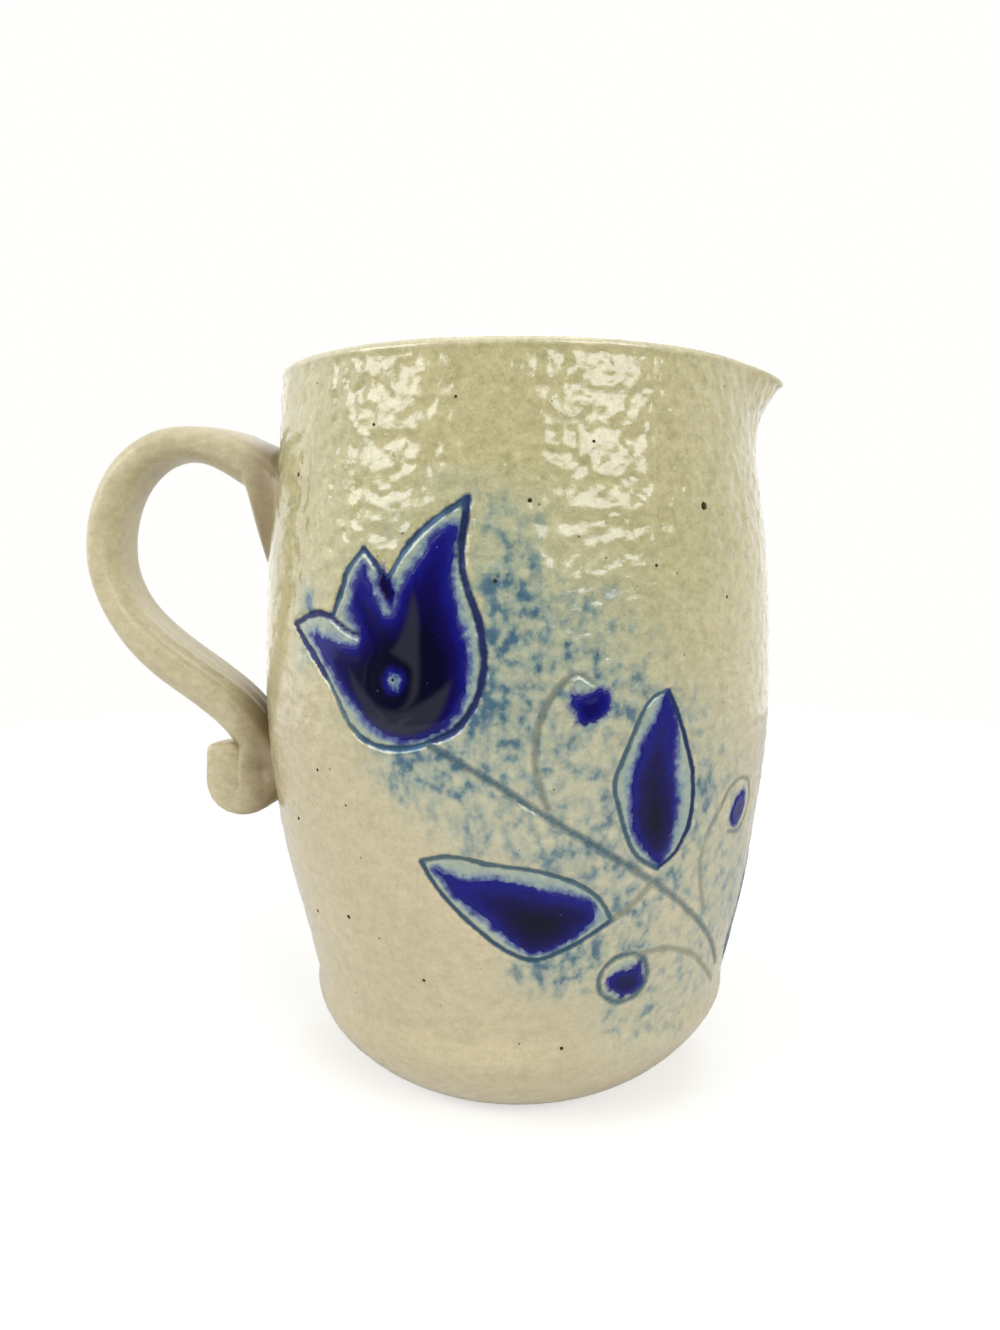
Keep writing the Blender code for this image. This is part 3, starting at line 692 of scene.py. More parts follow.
def spray_values(places):
    """Named values of the drawn spray at places on the wall, all in millimetres or shares."""
    outlines = [drawn_curve(points, True) for points in HOLLOWS.values()]
    outline_gap = np.min([signed_gap(outline, places) for outline in outlines], axis=0)
    stroke_share, loose_share, pool_gap = (np.full(len(places), FAR_AWAY) for _ in range(3))
    width_sum, depth_sum, tint_sum, weight_sum = (np.zeros(len(places)) for _ in range(4))
    for half_width, depth, tint, points in STROKES:
        curve = drawn_curve(points, False)
        gap = gap_to(curve, places)
        share = gap / (half_width * STROKE_SPREAD)
        stroke_share = np.minimum(stroke_share, share)
        if min(gap_to(outline, curve).max() for outline in outlines) > LOOSE_GAP:
            loose_share = np.minimum(loose_share, share)
        weight = 1.0 / (gap + 0.15) ** 4
        width_sum += half_width * weight
        depth_sum += depth * weight
        tint_sum += tint * weight
        weight_sum += weight
    for outline in pool_outlines().values():
        pool_gap = np.minimum(pool_gap, signed_gap(outline, places))
    hollows = [(outline, 1.0) for outline in outlines]
    hollows += [(drawn_curve(round_outline(*sizes), True), BUD_HOLLOW_SHARE) for sizes in BUD_HOLLOWS]
    bowl = np.zeros(len(places))
    for outline, share in hollows:
        to_edge = np.maximum(-signed_gap(outline, places), 0.0)
        slope = to_edge / np.maximum(to_edge + np.maximum(pool_gap, 0.0), 1e-6)
        bowl = np.maximum(bowl, share * slope * ease(to_edge, 0.0, 0.3))
    bowl *= hollow_share(places[:, 0])
    unwashed = np.ones(len(places))
    for across, up, radius, strength in WASHES:
        reach = np.hypot(places[:, 0] - across, places[:, 1] - up) / radius
        unwashed *= 1.0 - strength * np.exp(-reach**2)
    return {
        "stroke_share": stroke_share,
        "loose_share": loose_share,
        "outline_share": outline_gap / (width_sum / weight_sum),
        "stroke_depth": depth_sum / weight_sum,
        "stroke_tint": tint_sum / weight_sum,
        "pool_gap": pool_gap,
        "bowl_share": bowl,
        "wash_share": 1.0 - unwashed,
    }


PLAIN_VALUES = {
    **dict.fromkeys(("stroke_share", "loose_share", "outline_share", "pool_gap"), FAR_AWAY),
    **dict.fromkeys(("stroke_depth", "stroke_tint", "bowl_share", "wash_share"), 0.0),
}


class NodeDesk:
    """Adds nodes to one tree and joins them; a socket or a plain value may stand for any input."""

    def __init__(self, tree):
        self.tree = tree

    def add(self, kind, inputs=(), **settings):
        node = self.tree.nodes.new(kind)
        for name, value in settings.items():
            setattr(node, name, value)
        for key, value in dict(inputs).items():
            self.put(node.inputs[key], value)
        return node

    def put(self, socket, value):
        if isinstance(value, bpy.types.NodeSocket):
            self.tree.links.new(value, socket)
        elif socket.type == "RGBA":
            socket.default_value = (*value, 1.0)
        else:
            socket.default_value = value

    def place(self):
        return self.add("ShaderNodeTexCoord").outputs["Object"]

    def math(self, operation, first, second=0.0):
        return self.add("ShaderNodeMath", {0: first, 1: second}, operation=operation).outputs[0]

    def chain(self, operation, values):
        result = values[0]
        for value in values[1:]:
            result = self.math(operation, result, value)
        return result

    def total(self, *values):
        return self.chain("ADD", values)

    def times(self, *values):
        return self.chain("MULTIPLY", values)

    def less(self, first, second):
        return self.math("SUBTRACT", first, second)

    def most(self, first, second):
        return self.math("MAXIMUM", first, second)

    def ease(self, value, low, high, start=0.0, end=1.0):
        inputs = {"Value": value, "From Min": low, "From Max": high, "To Min": start, "To Max": end}
        return self.add("ShaderNodeMapRange", inputs, interpolation_type="SMOOTHSTEP").outputs["Result"]

    def stretch(self, place, factors):
        return self.add("ShaderNodeVectorMath", {0: place, 1: factors}, operation="MULTIPLY").outputs[0]

    def scale(self, size):
        return self.math("DIVIDE", 1.0, size) if isinstance(size, bpy.types.NodeSocket) else 1.0 / size

    def noise(self, place, size, detail=2.0, roughness=0.5):
        inputs = {"Vector": place, "Scale": self.scale(size), "Detail": detail, "Roughness": roughness}
        return self.add("ShaderNodeTexNoise", inputs).outputs[0]

    def cells(self, place, size, feature="F1"):
        return self.add("ShaderNodeTexVoronoi", {"Vector": place, "Scale": self.scale(size)}, feature=feature)

    def pits(self, place, size):
        return self.cells(place, size, "SMOOTH_F1").outputs["Distance"]

    def dots(self, place, size, rarity, largest):
        cell = self.cells(place, size)
        chance = self.add("ShaderNodeSeparateColor", {0: cell.outputs["Color"]}).outputs[0]
        inside = self.less(self.times(self.less(chance, rarity), largest), cell.outputs["Distance"])
        return self.ease(inside, -0.03, 0.03)

    def blend(self, share, under, over, mode="MIX"):
        settings = {"data_type": "RGBA", "blend_type": mode, "clamp_factor": True}
        return self.add("ShaderNodeMix", {0: share, 6: under, 7: over}, **settings).outputs[2]

    def attribute(self, name):
        if self.tree.bl_idname == "GeometryNodeTree":
            return self.add("GeometryNodeInputNamedAttribute", {"Name": name}, data_type="FLOAT").outputs[0]
        return self.add("ShaderNodeAttribute", attribute_name=name).outputs["Fac"]

    def group(self, tree, **inputs):
        node = self.add("ShaderNodeGroup", node_tree=tree)
        for name, value in inputs.items():
            self.put(node.inputs[name], value)
        return node.outputs


def put_values(mesh, name, values):
    """Store one named value per point of a mesh."""
    layer = mesh.attributes.new(name, "FLOAT", "POINT")
    layer.data.foreach_set("value", np.ascontiguousarray(values, np.float32))


def new_piece(name, points, faces):
    """Mesh object at the origin from points and faces."""
    mesh = bpy.data.meshes.new(name)
    mesh.from_pydata([tuple(point) for point in points], [], faces)
    mesh.shade_smooth()
    piece = bpy.data.objects.new(name, mesh)
    bpy.context.scene.collection.objects.link(piece)
    return piece


def shaped_by(piece, tree, values):
    """Run a piece through a Geometry Nodes tree and keep the plain mesh."""
    modifier = piece.modifiers.new(tree.name, "NODES")
    modifier.node_group = tree
    for item in tree.interface.items_tree:
        if item.in_out == "INPUT" and item.name in values:
            modifier[item.identifier] = values[item.name]
    graph = bpy.context.evaluated_depsgraph_get()
    plain = bpy.data.meshes.new_from_object(piece.evaluated_get(graph))
    rough = piece.data
    piece.modifiers.clear()
    piece.data = plain
    bpy.data.meshes.remove(rough)
    plain.name = piece.name
    plain.materials.clear()
    plain.materials.append(values["Finish"])
    plain.shade_smooth()
    return piece


def stand_in_for(piece, slot, *nodes):
    """Tie a finished piece to the jug's body and hide its solids; the slot it is given is not used."""
    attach(piece, "root")
    if nodes:
        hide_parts(*nodes)


def new_tree(name, kind, inputs, outputs):
    """Empty node tree with named inputs and outputs; gives its desk and the sockets of its inputs."""
    tree = bpy.data.node_groups.new(name, kind)
    for in_out, sockets in (("INPUT", inputs), ("OUTPUT", outputs)):
        for socket, socket_type in sockets.items():
            tree.interface.new_socket(socket, in_out=in_out, socket_type=socket_type)
    desk = NodeDesk(tree)
    return desk, desk.add("NodeGroupInput").outputs


def new_geometry_tree(name, sizes, seeds=()):
    """Empty Geometry Nodes tree with a geometry input, named sizes and seeds, and a finish."""
    inputs = {
        "Geometry": GEOMETRY, **dict.fromkeys(sizes, NUMBER), **dict.fromkeys(seeds, "NodeSocketInt"),
        "Finish": "NodeSocketMaterial",
    }
    return new_tree(name, "GeometryNodeTree", inputs, {"Geometry": GEOMETRY})


def close_geometry_tree(desk, geometry, finish):
    """End a tree in plain geometry with its finish."""
    real = desk.add("GeometryNodeRealizeInstances", {"Geometry": geometry}).outputs[0]
    dressed = desk.add("GeometryNodeSetMaterial", {"Geometry": real, "Material": finish}).outputs[0]
    desk.add("NodeGroupOutput", {0: dressed})
    return desk.tree


def salt_skin_tree():
    """Shape of the fired skin: throwing rings, orange peel, incised strokes and the hollows of the pools."""
    desk, sizes = new_geometry_tree("salt_skin", (
        "Peel Size", "Peel Depth", "Ring Pitch", "Ring Depth", "Stroke Depth", "Bowl Depth", "Pocket Depth",
        "Skin Drop"))
    place = desk.add("GeometryNodeInputPosition").outputs[0]
    normal = desk.add("GeometryNodeInputNormal").outputs[0]
    peel_share = desk.attribute("peel_share")
    bowl = desk.attribute("bowl_share")

    squat = desk.stretch(place, (1.0, 1.0, 1.25))
    swell = desk.less(desk.noise(squat, sizes["Peel Size"], 1.2, 0.45), 0.62)
    pit_size = desk.times(sizes["Peel Size"], 0.8)
    pit = desk.ease(desk.pits(squat, pit_size), 0.42, 0.12)
    peel = desk.less(desk.times(swell, 2.4), desk.times(pit, 0.55))
    shore = desk.ease(desk.attribute("pool_gap"), 0.8, 0.0)
    calm = desk.less(1.0, desk.times(desk.most(bowl, shore), 0.88))
    peel_height = desk.times(peel, sizes["Peel Depth"], peel_share, calm)

    height = desk.add("ShaderNodeSeparateXYZ", {0: place}).outputs["Z"]
    drift = desk.times(desk.noise(place, 0.03, 1.0), 5.0)
    rings = desk.math("DIVIDE", desk.times(height, 2 * math.pi), sizes["Ring Pitch"])
    ring = desk.less(desk.math("SINE", desk.total(rings, drift)), 1.0)
    ring_height = desk.times(ring, sizes["Ring Depth"], peel_share, calm)

    stroke = desk.attribute("stroke_share")
    stroke_depth = desk.times(desk.attribute("stroke_depth"), sizes["Stroke Depth"])
    groove = desk.times(desk.ease(stroke, 1.15, 0.0), stroke_depth, -1.0)

    bowl_height = desk.times(bowl, sizes["Bowl Depth"], -1.0)
    pocket = desk.times(desk.ease(desk.attribute("pool_gap"), -0.3, -0.9), sizes["Pocket Depth"], -1.0)
    drop = desk.times(sizes["Skin Drop"], peel_share, -1.0)

    lift = desk.total(peel_height, ring_height, groove, bowl_height, pocket, drop)
    offset = desk.add("ShaderNodeVectorMath", {0: normal, "Scale": lift}, operation="SCALE").outputs[0]
    moved = desk.add("GeometryNodeSetPosition", {"Geometry": sizes["Geometry"], "Offset": offset}).outputs[0]
    return close_geometry_tree(desk, moved, sizes["Finish"])


def iron_speck_tree():
    """Small flattened iron specks, set into the skin at scattered points and at the given spots."""
    desk, sizes = new_geometry_tree("iron_specks", ("Density", "Smallest", "Largest"), ("Seed",))

    def flattened(radius):
        inputs = {"X": radius, "Y": radius, "Z": desk.times(radius, SPECK_FLATNESS)}
        return desk.add("ShaderNodeCombineXYZ", inputs).outputs[0]

    outside = desk.math("GREATER_THAN", desk.attribute("peel_share"), 0.9)
    clear = desk.math("GREATER_THAN", desk.attribute("pool_gap"), 1.6)
    chosen = desk.times(outside, clear)
    scatter = desk.add("GeometryNodeDistributePointsOnFaces", {
        "Mesh": sizes["Geometry"], "Selection": chosen, "Density": sizes["Density"], "Seed": sizes["Seed"]})
    speck = desk.add("GeometryNodeMeshIcoSphere", {"Radius": 1.0, "Subdivisions": 1}).outputs["Mesh"]
    size = desk.add(
        "FunctionNodeRandomValue", {2: sizes["Smallest"], 3: sizes["Largest"], "Seed": sizes["Seed"]},
        data_type="FLOAT").outputs[1]
    placed = desk.add("GeometryNodeInstanceOnPoints", {
        "Points": scatter.outputs["Points"], "Instance": speck, "Rotation": scatter.outputs["Rotation"],
        "Scale": flattened(size)}).outputs[0]
    spot = desk.attribute("spot_radius")
    normal = desk.add("GeometryNodeInputNormal").outputs[0]
    facing = desk.add("FunctionNodeAlignRotationToVector", {"Vector": normal}, axis="Z")
    given = desk.add("GeometryNodeInstanceOnPoints", {
        "Points": sizes["Geometry"], "Selection": desk.math("GREATER_THAN", spot, 0.0), "Instance": speck,
        "Rotation": facing.outputs[0], "Scale": flattened(spot)}).outputs[0]
    both = desk.add("GeometryNodeJoinGeometry")
    desk.put(both.inputs[0], given)
    desk.put(both.inputs[0], placed)
    return close_geometry_tree(desk, both.outputs[0], sizes["Finish"])


def salt_glaze_group():
    """Colour, gloss and fine relief of salt-glazed clay: clouds, mottles, grain and iron pepper."""
    inputs = {
        **dict.fromkeys(("Clay", "Shade", "Pale"), COLOUR),
        **dict.fromkeys(("Mottle", "Grain", "Pepper"), NUMBER),
    }
    outputs = {"Colour": COLOUR, **dict.fromkeys(("Light", "Gloss", "Height"), NUMBER)}
    desk, given = new_tree("salt_glaze", "ShaderNodeTree", inputs, outputs)
    place = desk.place()
    squat = desk.stretch(place, (1.0, 1.0, 1.5))
    cloud = desk.ease(desk.noise(place, 0.013, 3.0, 0.6), 0.36, 0.66)
    mottle = desk.noise(squat, 0.0021, 2.5, 0.6)
    grain = desk.noise(place, 0.00027, 2.0, 0.65)
    dust = desk.noise(place, 0.0008, 2.0, 0.6)
    dimple = desk.pits(squat, 0.0013)

    tone = desk.blend(desk.times(cloud, given["Mottle"]), given["Clay"], given["Shade"])
    tone = desk.blend(desk.times(desk.ease(mottle, 0.48, 0.7), given["Mottle"], 0.6), tone, given["Pale"])
    tone = desk.blend(desk.times(desk.ease(mottle, 0.5, 0.32), given["Mottle"], 0.8), tone, given["Shade"])
    swing = desk.total(
        desk.less(grain, 0.5), desk.times(desk.less(dust, 0.5), 0.9),
        desk.times(desk.less(mottle, 0.5), 0.6))
    light = desk.total(1.0, desk.times(swing, given["Grain"]))

    mask = 0.0
    for size, rarity, largest in ((0.0021, 0.72, 0.32), (0.00085, 0.8, 0.5)):
        mask = desk.most(mask, desk.dots(place, size, rarity, largest))
    tone = desk.blend(desk.times(mask, given["Pepper"]), tone, PEPPER_COLOUR)

    worn = desk.total(desk.times(mottle, 0.7), desk.times(grain, 0.3))
    desk.add("NodeGroupOutput", {
        "Colour": tone,
        "Light": light,
        "Gloss": desk.ease(worn, 0.3, 0.7, 0.07, 0.17),
        "Height": desk.total(desk.times(grain, 0.3), desk.times(dust, 0.55), desk.times(dimple, 0.8)),
    })
    return desk.tree


def frayed_edge_group():
    """Mask that fades out over a distance with a grainy, frayed edge, as cobalt bleeds in a salt glaze."""
    inputs = dict.fromkeys(("Gap", "Near", "Far", "Fray"), NUMBER)
    desk, given = new_tree("frayed_edge", "ShaderNodeTree", inputs, {"Mask": NUMBER})
    place = desk.place()
    grain = desk.less(desk.noise(place, 0.0008, 2.0, 0.6), 0.5)
    wander = desk.less(desk.noise(place, 0.0024, 1.0, 0.5), 0.5)
    frayed = desk.total(
        given["Gap"], desk.times(grain, given["Fray"], 1.5), desk.times(wander, given["Fray"], 1.4))
    desk.add("NodeGroupOutput", {"Mask": desk.ease(frayed, given["Far"], given["Near"])})
    return desk.tree


def new_material(name):
    """Node material with one shader; gives the material, its desk and the shader."""
    material = bpy.data.materials.new(name)
    material.use_nodes = True
    desk = NodeDesk(material.node_tree)
    return material, desk, material.node_tree.nodes["Principled BSDF"]


def dress(desk, shader, tone, roughness, height=None, relief=0.0):
    """Feed a shader its colour, its roughness and a fine relief."""
    desk.put(shader.inputs["Base Color"], tone)
    desk.put(shader.inputs["Roughness"], roughness)
    if height is not None:
        bump = desk.add("ShaderNodeBump", {"Height": height, "Distance": relief})
        desk.put(shader.inputs["Normal"], bump.outputs["Normal"])


def body_material(clay, cobalt, glaze, fray):
    """Salt-glazed wall with cobalt in its strokes, round its pools and in its pits."""
    material, desk, shader = new_material("salt_glazed_wall")
    place = desk.place()
    height = desk.add("ShaderNodeSeparateXYZ", {0: place}).outputs["Z"]
    low = desk.times(desk.ease(height, 0.084, 0.044), 0.85)
    ground = desk.blend(low, clay.wall_colour, clay.low_colour)
    lively = desk.less(1.0, desk.times(low, 0.5))
    skin = desk.group(
        glaze, Clay=ground, Shade=desk.blend(1.0, ground, clay.shade_tint, "MULTIPLY"),
        Pale=desk.blend(1.0, ground, clay.pale_tint, "MULTIPLY"), Mottle=desk.times(lively, 0.55),
        Grain=desk.times(lively, 0.5), Pepper=0.9)
    # Painted highlight: a pale line along the rim's top, where its rounding would catch the lamps
    rim_highlight_gap = desk.math("ABSOLUTE", desk.less(height, BODY_HEIGHT - 0.6 * MM))
    tone = desk.blend(desk.times(desk.ease(rim_highlight_gap, 0.0008, 0.0002), 0.5), skin["Colour"], clay.rim_highlight_colour)
    # Darker tan blended over the lowest 3 mm of the foot
    tone = desk.blend(desk.times(desk.ease(height, 0.003, 0.0003), 0.75), tone, clay.edge_colour)

    tall = desk.stretch(place, (1.0, 1.0, 0.8))
    spots = desk.noise(tall, 0.0016, 2.0, 0.5)
    flecks = desk.noise(place, 0.0007, 2.0, 0.6)
    pits = desk.pits(tall, 0.0016)
    wash = desk.attribute("wash_share")
    outline = desk.math("ABSOLUTE", desk.attribute("outline_share"))
    beside = desk.ease(outline, 6.5, 2.5)
    rise = desk.total(
        desk.times(pits, 0.5), desk.times(spots, 1.3), desk.times(flecks, 0.3), desk.times(wash, 0.75),
        desk.times(beside, 0.11), -1.67)
    stain = desk.times(desk.ease(rise, -0.31, 0.31), desk.ease(wash, 0.05, 0.7))
    core = desk.times(desk.ease(rise, 0.06, 0.38), desk.ease(wash, 0.5, 1.0))
    tone = desk.blend(desk.times(wash, 0.4), tone, cobalt.haze_colour)
    tone = desk.blend(desk.times(stain, 0.62), tone, cobalt.wash_colour)
    tone = desk.blend(desk.times(core, 0.8), tone, cobalt.dot_colour)

    bowl = desk.attribute("bowl_share")
    pale = desk.times(desk.ease(bowl, 0.02, 0.2), 0.75)
    tone = desk.blend(pale, tone, clay.band_colour)

    pool_gap = desk.attribute("pool_gap")
    halo = desk.group(fray, Gap=pool_gap, Near=0.2, Far=1.9, Fray=1.2)["Mask"]
    tone = desk.blend(desk.times(halo, desk.ease(bowl, 0.3, 0.7), 0.8), tone, cobalt.halo_colour)
    bleed = desk.group(fray, Gap=pool_gap, Near=-0.1, Far=0.85, Fray=0.9)["Mask"]
    tone = desk.blend(bleed, tone, cobalt.edge_colour)

    tint = desk.attribute("stroke_tint")
    # The faint end of the ink is darker clay, the painted shade of a groove with little cobalt
    ink = desk.blend(desk.ease(tint, 0.2, 0.45), cobalt.groove_shade_colour, cobalt.teal_colour)
    ink = desk.blend(desk.ease(tint, 0.45, 0.7), ink, cobalt.line_colour)
    ink = desk.blend(desk.ease(tint, 0.6, 1.0), ink, cobalt.navy_colour)
    loose = desk.attribute("loose_share")
    closed_line = desk.group(fray, Gap=outline, Near=0.45, Far=1.1, Fray=0.4)["Mask"]
    loose_line = desk.group(fray, Gap=loose, Near=0.2, Far=1.4, Fray=0.4)["Mask"]
    line = desk.times(desk.most(closed_line, loose_line), desk.ease(tint, 0.15, 0.7, 0.7, 0.98))
    tone = desk.blend(line, tone, ink)
    tone = desk.blend(1.0, tone, skin["Light"], "MULTIPLY")

    # The cobalt-rich strokes are duller than the wall and mirror in their own blue
    matt = desk.most(desk.times(bleed, 0.4), desk.times(line, 0.4))
    desk.put(shader.inputs["Metallic"], desk.times(line, 0.6))
    nearest = desk.math("MINIMUM", outline, loose)
    cut = desk.times(desk.ease(nearest, 1.4, 0.1), desk.attribute("stroke_depth"), -2.4)
    dress(desk, shader, tone, desk.total(skin["Gloss"], matt), desk.total(skin["Height"], cut), WALL_RELIEF)
    return material


def strap_material(strap, glaze):
    """Salt-glazed strap, smoother than the wall and browner at its joints, partly as painted shade near the
    wall.
    """
    material, desk, shader = new_material("salt_glazed_strap")
    skin = desk.group(
        glaze, Clay=strap.strap_colour, Shade=strap.shade_colour, Pale=strap.pale_colour,
        Mottle=0.6, Grain=0.34, Pepper=0.6)
    # Brown joints, partly painted shade where the strap nears the wall; painted shade along the tail's inner
    # side, in the thumb dimple and on the tail's end
    joint_and_shade = desk.attribute("joint_and_shade_share")
    tone = desk.blend(desk.times(joint_and_shade, 0.85), skin["Colour"], strap.joint_and_shade_colour)
    tone = desk.blend(1.0, tone, skin["Light"], "MULTIPLY")
    dress(desk, shader, tone, desk.total(skin["Gloss"], 0.3), skin["Height"], STRAP_RELIEF)
    return material


def glass_material(cobalt, fray):
    """Deep cobalt glass, bright blue where it runs thin at its edge, with painted reflections and painted
    bubble glints.
    """
    material, desk, shader = new_material("cobalt_pool_glass")
    depth = desk.attribute("glass_depth")
    thin = desk.group(fray, Gap=depth, Near=0.1, Far=1.7, Fray=0.8)["Mask"]
    shallow = desk.group(fray, Gap=depth, Near=0.8, Far=4.6, Fray=0.8)["Mask"]
    tone = desk.blend(shallow, cobalt.deep_colour, cobalt.middle_colour)
    tone = desk.blend(thin, tone, cobalt.edge_colour)
    # Painted reflection: grey streak and crescent in the tulip's glass
    tone = desk.blend(desk.times(desk.attribute("painted_reflection_share"), 0.8), tone, cobalt.painted_reflection_colour)
    eye = desk.attribute("eye_gap")
    ring = desk.group(fray, Gap=eye, Near=0.9, Far=2.3, Fray=0.7)["Mask"]
    tone = desk.blend(ring, tone, cobalt.edge_colour)
    clay = desk.group(fray, Gap=eye, Near=0.2, Far=1.2, Fray=1.1)["Mask"]
    tone = desk.blend(clay, tone, EYE_CLAY_COLOUR)
    tone = desk.blend(desk.ease(eye, 0.34, 0.2), tone, EYE_PIT_COLOUR)
    place = desk.place()
    # Pale dots: small bubbles in the glass, painted with their glints
    tone = desk.blend(desk.times(desk.dots(place, 0.0013, 0.9, 0.9), 0.5), tone, BUBBLE_GLINT_COLOUR)
    polish = desk.ease(desk.noise(place, 0.003), 0.3, 0.7, 0.05, 0.1)
    dress(desk, shader, tone, desk.total(polish, desk.ease(depth, 0.7, 0.1, 0.0, 0.35)))
    shader.inputs["Specular IOR Level"].default_value = GLASS_SHINE
    return material


def iron_material():
    """Dark iron specks that bled through the glaze."""
    material, desk, shader = new_material("iron_speck")
    grain = desk.noise(desk.place(), 0.0004)
    dress(desk, shader, desk.blend(grain, *IRON_COLOURS), desk.ease(grain, 0.3, 0.7, 0.4, 0.6))
    shader.inputs["Specular IOR Level"].default_value = IRON_SHINE
    return material


def shared(name, maker):
    """Node tree by name, made on first use."""
    return bpy.data.node_groups.get(name) or maker()


def colour_of(name, description, default, highest=1.0):
    """Colour that a user may change."""
    return FloatVectorProperty(
        name=name, description=description, subtype="COLOR", size=3, min=0.0, max=highest, default=default)


def length_of(name, description, default):
    """Length that a user may change."""
    return FloatProperty(name=name, description=description, unit="LENGTH", default=default)


class CreamerClay(bpy.types.PropertyGroup):
    """Clay and salt glaze of the thrown body."""

    wall_colour: colour_of("Wall", "Colour of the salt-glazed wall", (0.475, 0.422, 0.226))
    low_colour: colour_of("Low", "Paler buff tone towards the foot", (0.54, 0.455, 0.295))
    shade_tint: colour_of("Shade", "What the clouds of the wall take from its colour", (0.84, 0.86, 0.80))
    pale_tint: colour_of("Pale", "What the raised skin adds to the wall's colour", (1.14, 1.16, 1.26), 2.0)
    # Tan blended over the lowest 3 mm of the foot
    edge_colour: colour_of("Edge", "Tan line where the glaze thins at the base", (0.30, 0.215, 0.12))
    # Painted highlight along the rim's top
    rim_highlight_colour: colour_of("Rim", "Pale line along the rim", (0.72, 0.66, 0.46))
    band_colour: colour_of("Band", "Pale glaze between the strokes and the cobalt", (0.27, 0.345, 0.295))
    peel_size: length_of("Peel size", "Width of one cell of the orange peel", 2.3 * MM)
    peel_depth: length_of("Peel depth", "Depth of the orange peel", 0.15 * MM)
    ring_pitch: length_of("Ring pitch", "Rise of one throwing ring", 4.2 * MM)
    ring_depth: length_of("Ring depth", "Depth of the throwing rings", 0.02 * MM)
    stroke_depth: length_of("Stroke depth", "Depth of the incised strokes", 0.25 * MM)
    bowl_depth: length_of("Hollow depth", "How far the drawn shapes are hollowed", 0.32 * MM)
    speck_density: FloatProperty(
        name="Speck density", description="Iron specks on a square metre of wall", default=7000.0)
    speck_seed: IntProperty(name="Speck seed", description="Seed of the scattered iron specks", default=7)


class CreamerCobalt(bpy.types.PropertyGroup):
    """Cobalt in the incised spray."""

    edge_colour: colour_of("Edge", "Ultramarine of thin cobalt glass", (0.008, 0.008, 0.16))
    middle_colour: colour_of("Middle", "Glass between its thin edge and its depth", (0.0055, 0.0036, 0.07))
    deep_colour: colour_of("Deep", "Near-black blue of deep cobalt glass", (0.0022, 0.002, 0.014))
    wash_colour: colour_of("Wash", "Teal blue of fumed cobalt in the pits", (0.064, 0.175, 0.21))
    dot_colour: colour_of("Dots", "Deep teal at the heart of the fumed pits", (0.02, 0.083, 0.155))
    halo_colour: colour_of("Halo", "Blue round the pools that fades into the wall", (0.10, 0.175, 0.31))
    # Painted reflection in the glass
    painted_reflection_colour: colour_of("Milk", "Grey of the milky streaks in the glass", (0.026, 0.027, 0.038))
    haze_colour: colour_of("Haze", "Grey green haze round the spray", (0.36, 0.43, 0.34))
    # Painted shade of a groove with little cobalt in it
    groove_shade_colour: colour_of("Faint stroke", "Stroke with little cobalt in it", (0.26, 0.26, 0.175))
    teal_colour: colour_of("Thin stroke", "Teal of a stroke with some cobalt", (0.04, 0.1, 0.135))
    line_colour: colour_of("Stroke", "Blue of a stroke with much cobalt", (0.008, 0.04, 0.112))
    navy_colour: colour_of("Dark stroke", "Stroke filled with dark cobalt", (0.003, 0.008, 0.08))
    pool_sag: length_of("Pool dip", "How far the glass dips below the hollow's edge", 0.26 * MM)


class CreamerStrap(bpy.types.PropertyGroup):
    """Pulled strap handle."""

    strap_colour: colour_of("Strap", "Tan of the strap", (0.53, 0.46, 0.285))
    shade_colour: colour_of("Shade", "Darker clouds of the strap", (0.45, 0.385, 0.23))
    pale_colour: colour_of("Pale", "Paler skin of the strap", (0.59, 0.525, 0.355))
    # Brown of the joints, also used as painted shade near the wall, in the thumb dimple and on the tail's end
    joint_and_shade_colour: colour_of("Joint", "Brown where the strap is luted on", (0.235, 0.17, 0.08))
    ridge_depth: length_of("Ridge depth", "Depth of the lengthwise ridges left by pulling", 0.36 * MM)


class CreamerStage(bpy.types.PropertyGroup):
    """Floor, light and camera."""

    floor_colour: colour_of("Floor", "Colour of the pale floor", (0.86, 0.855, 0.84))
    lamp_level: FloatProperty(
        name="Lamp level", description="Brightness of the face of a soft box", default=8.0)
    fill_level: FloatProperty(
        name="Fill level", description="Brightness of the even light from all round", default=0.12)
    eye_distance: length_of("Eye distance", "Distance of the camera in front of the axis", 159.4 * MM)
    eye_height: length_of("Eye height", "Height of the camera", 84.5 * MM)
    eye_aside: length_of("Eye aside", "How far the camera stands to the side", -2.67 * MM)
    eye_tilt: FloatProperty(
        name="Eye tilt", description="How far the camera looks down", subtype="ANGLE",
        default=math.radians(7.65))


def peel_shares(up, is_outer):
    """How strong the orange peel is: none at the base and on the rim's top, most under the rim."""
    peel = np.where(is_outer, ease(up, 1.0, 6.0), 0.25 * (up > 30.0))
    peel *= 1.0 + 0.9 * ease(up, 70.0, 102.0)
    peel *= 1.0 - 0.5 * ease(up, 50.0, 25.0)
    return peel * (1.0 - ease(up, 106.3, 107.4))


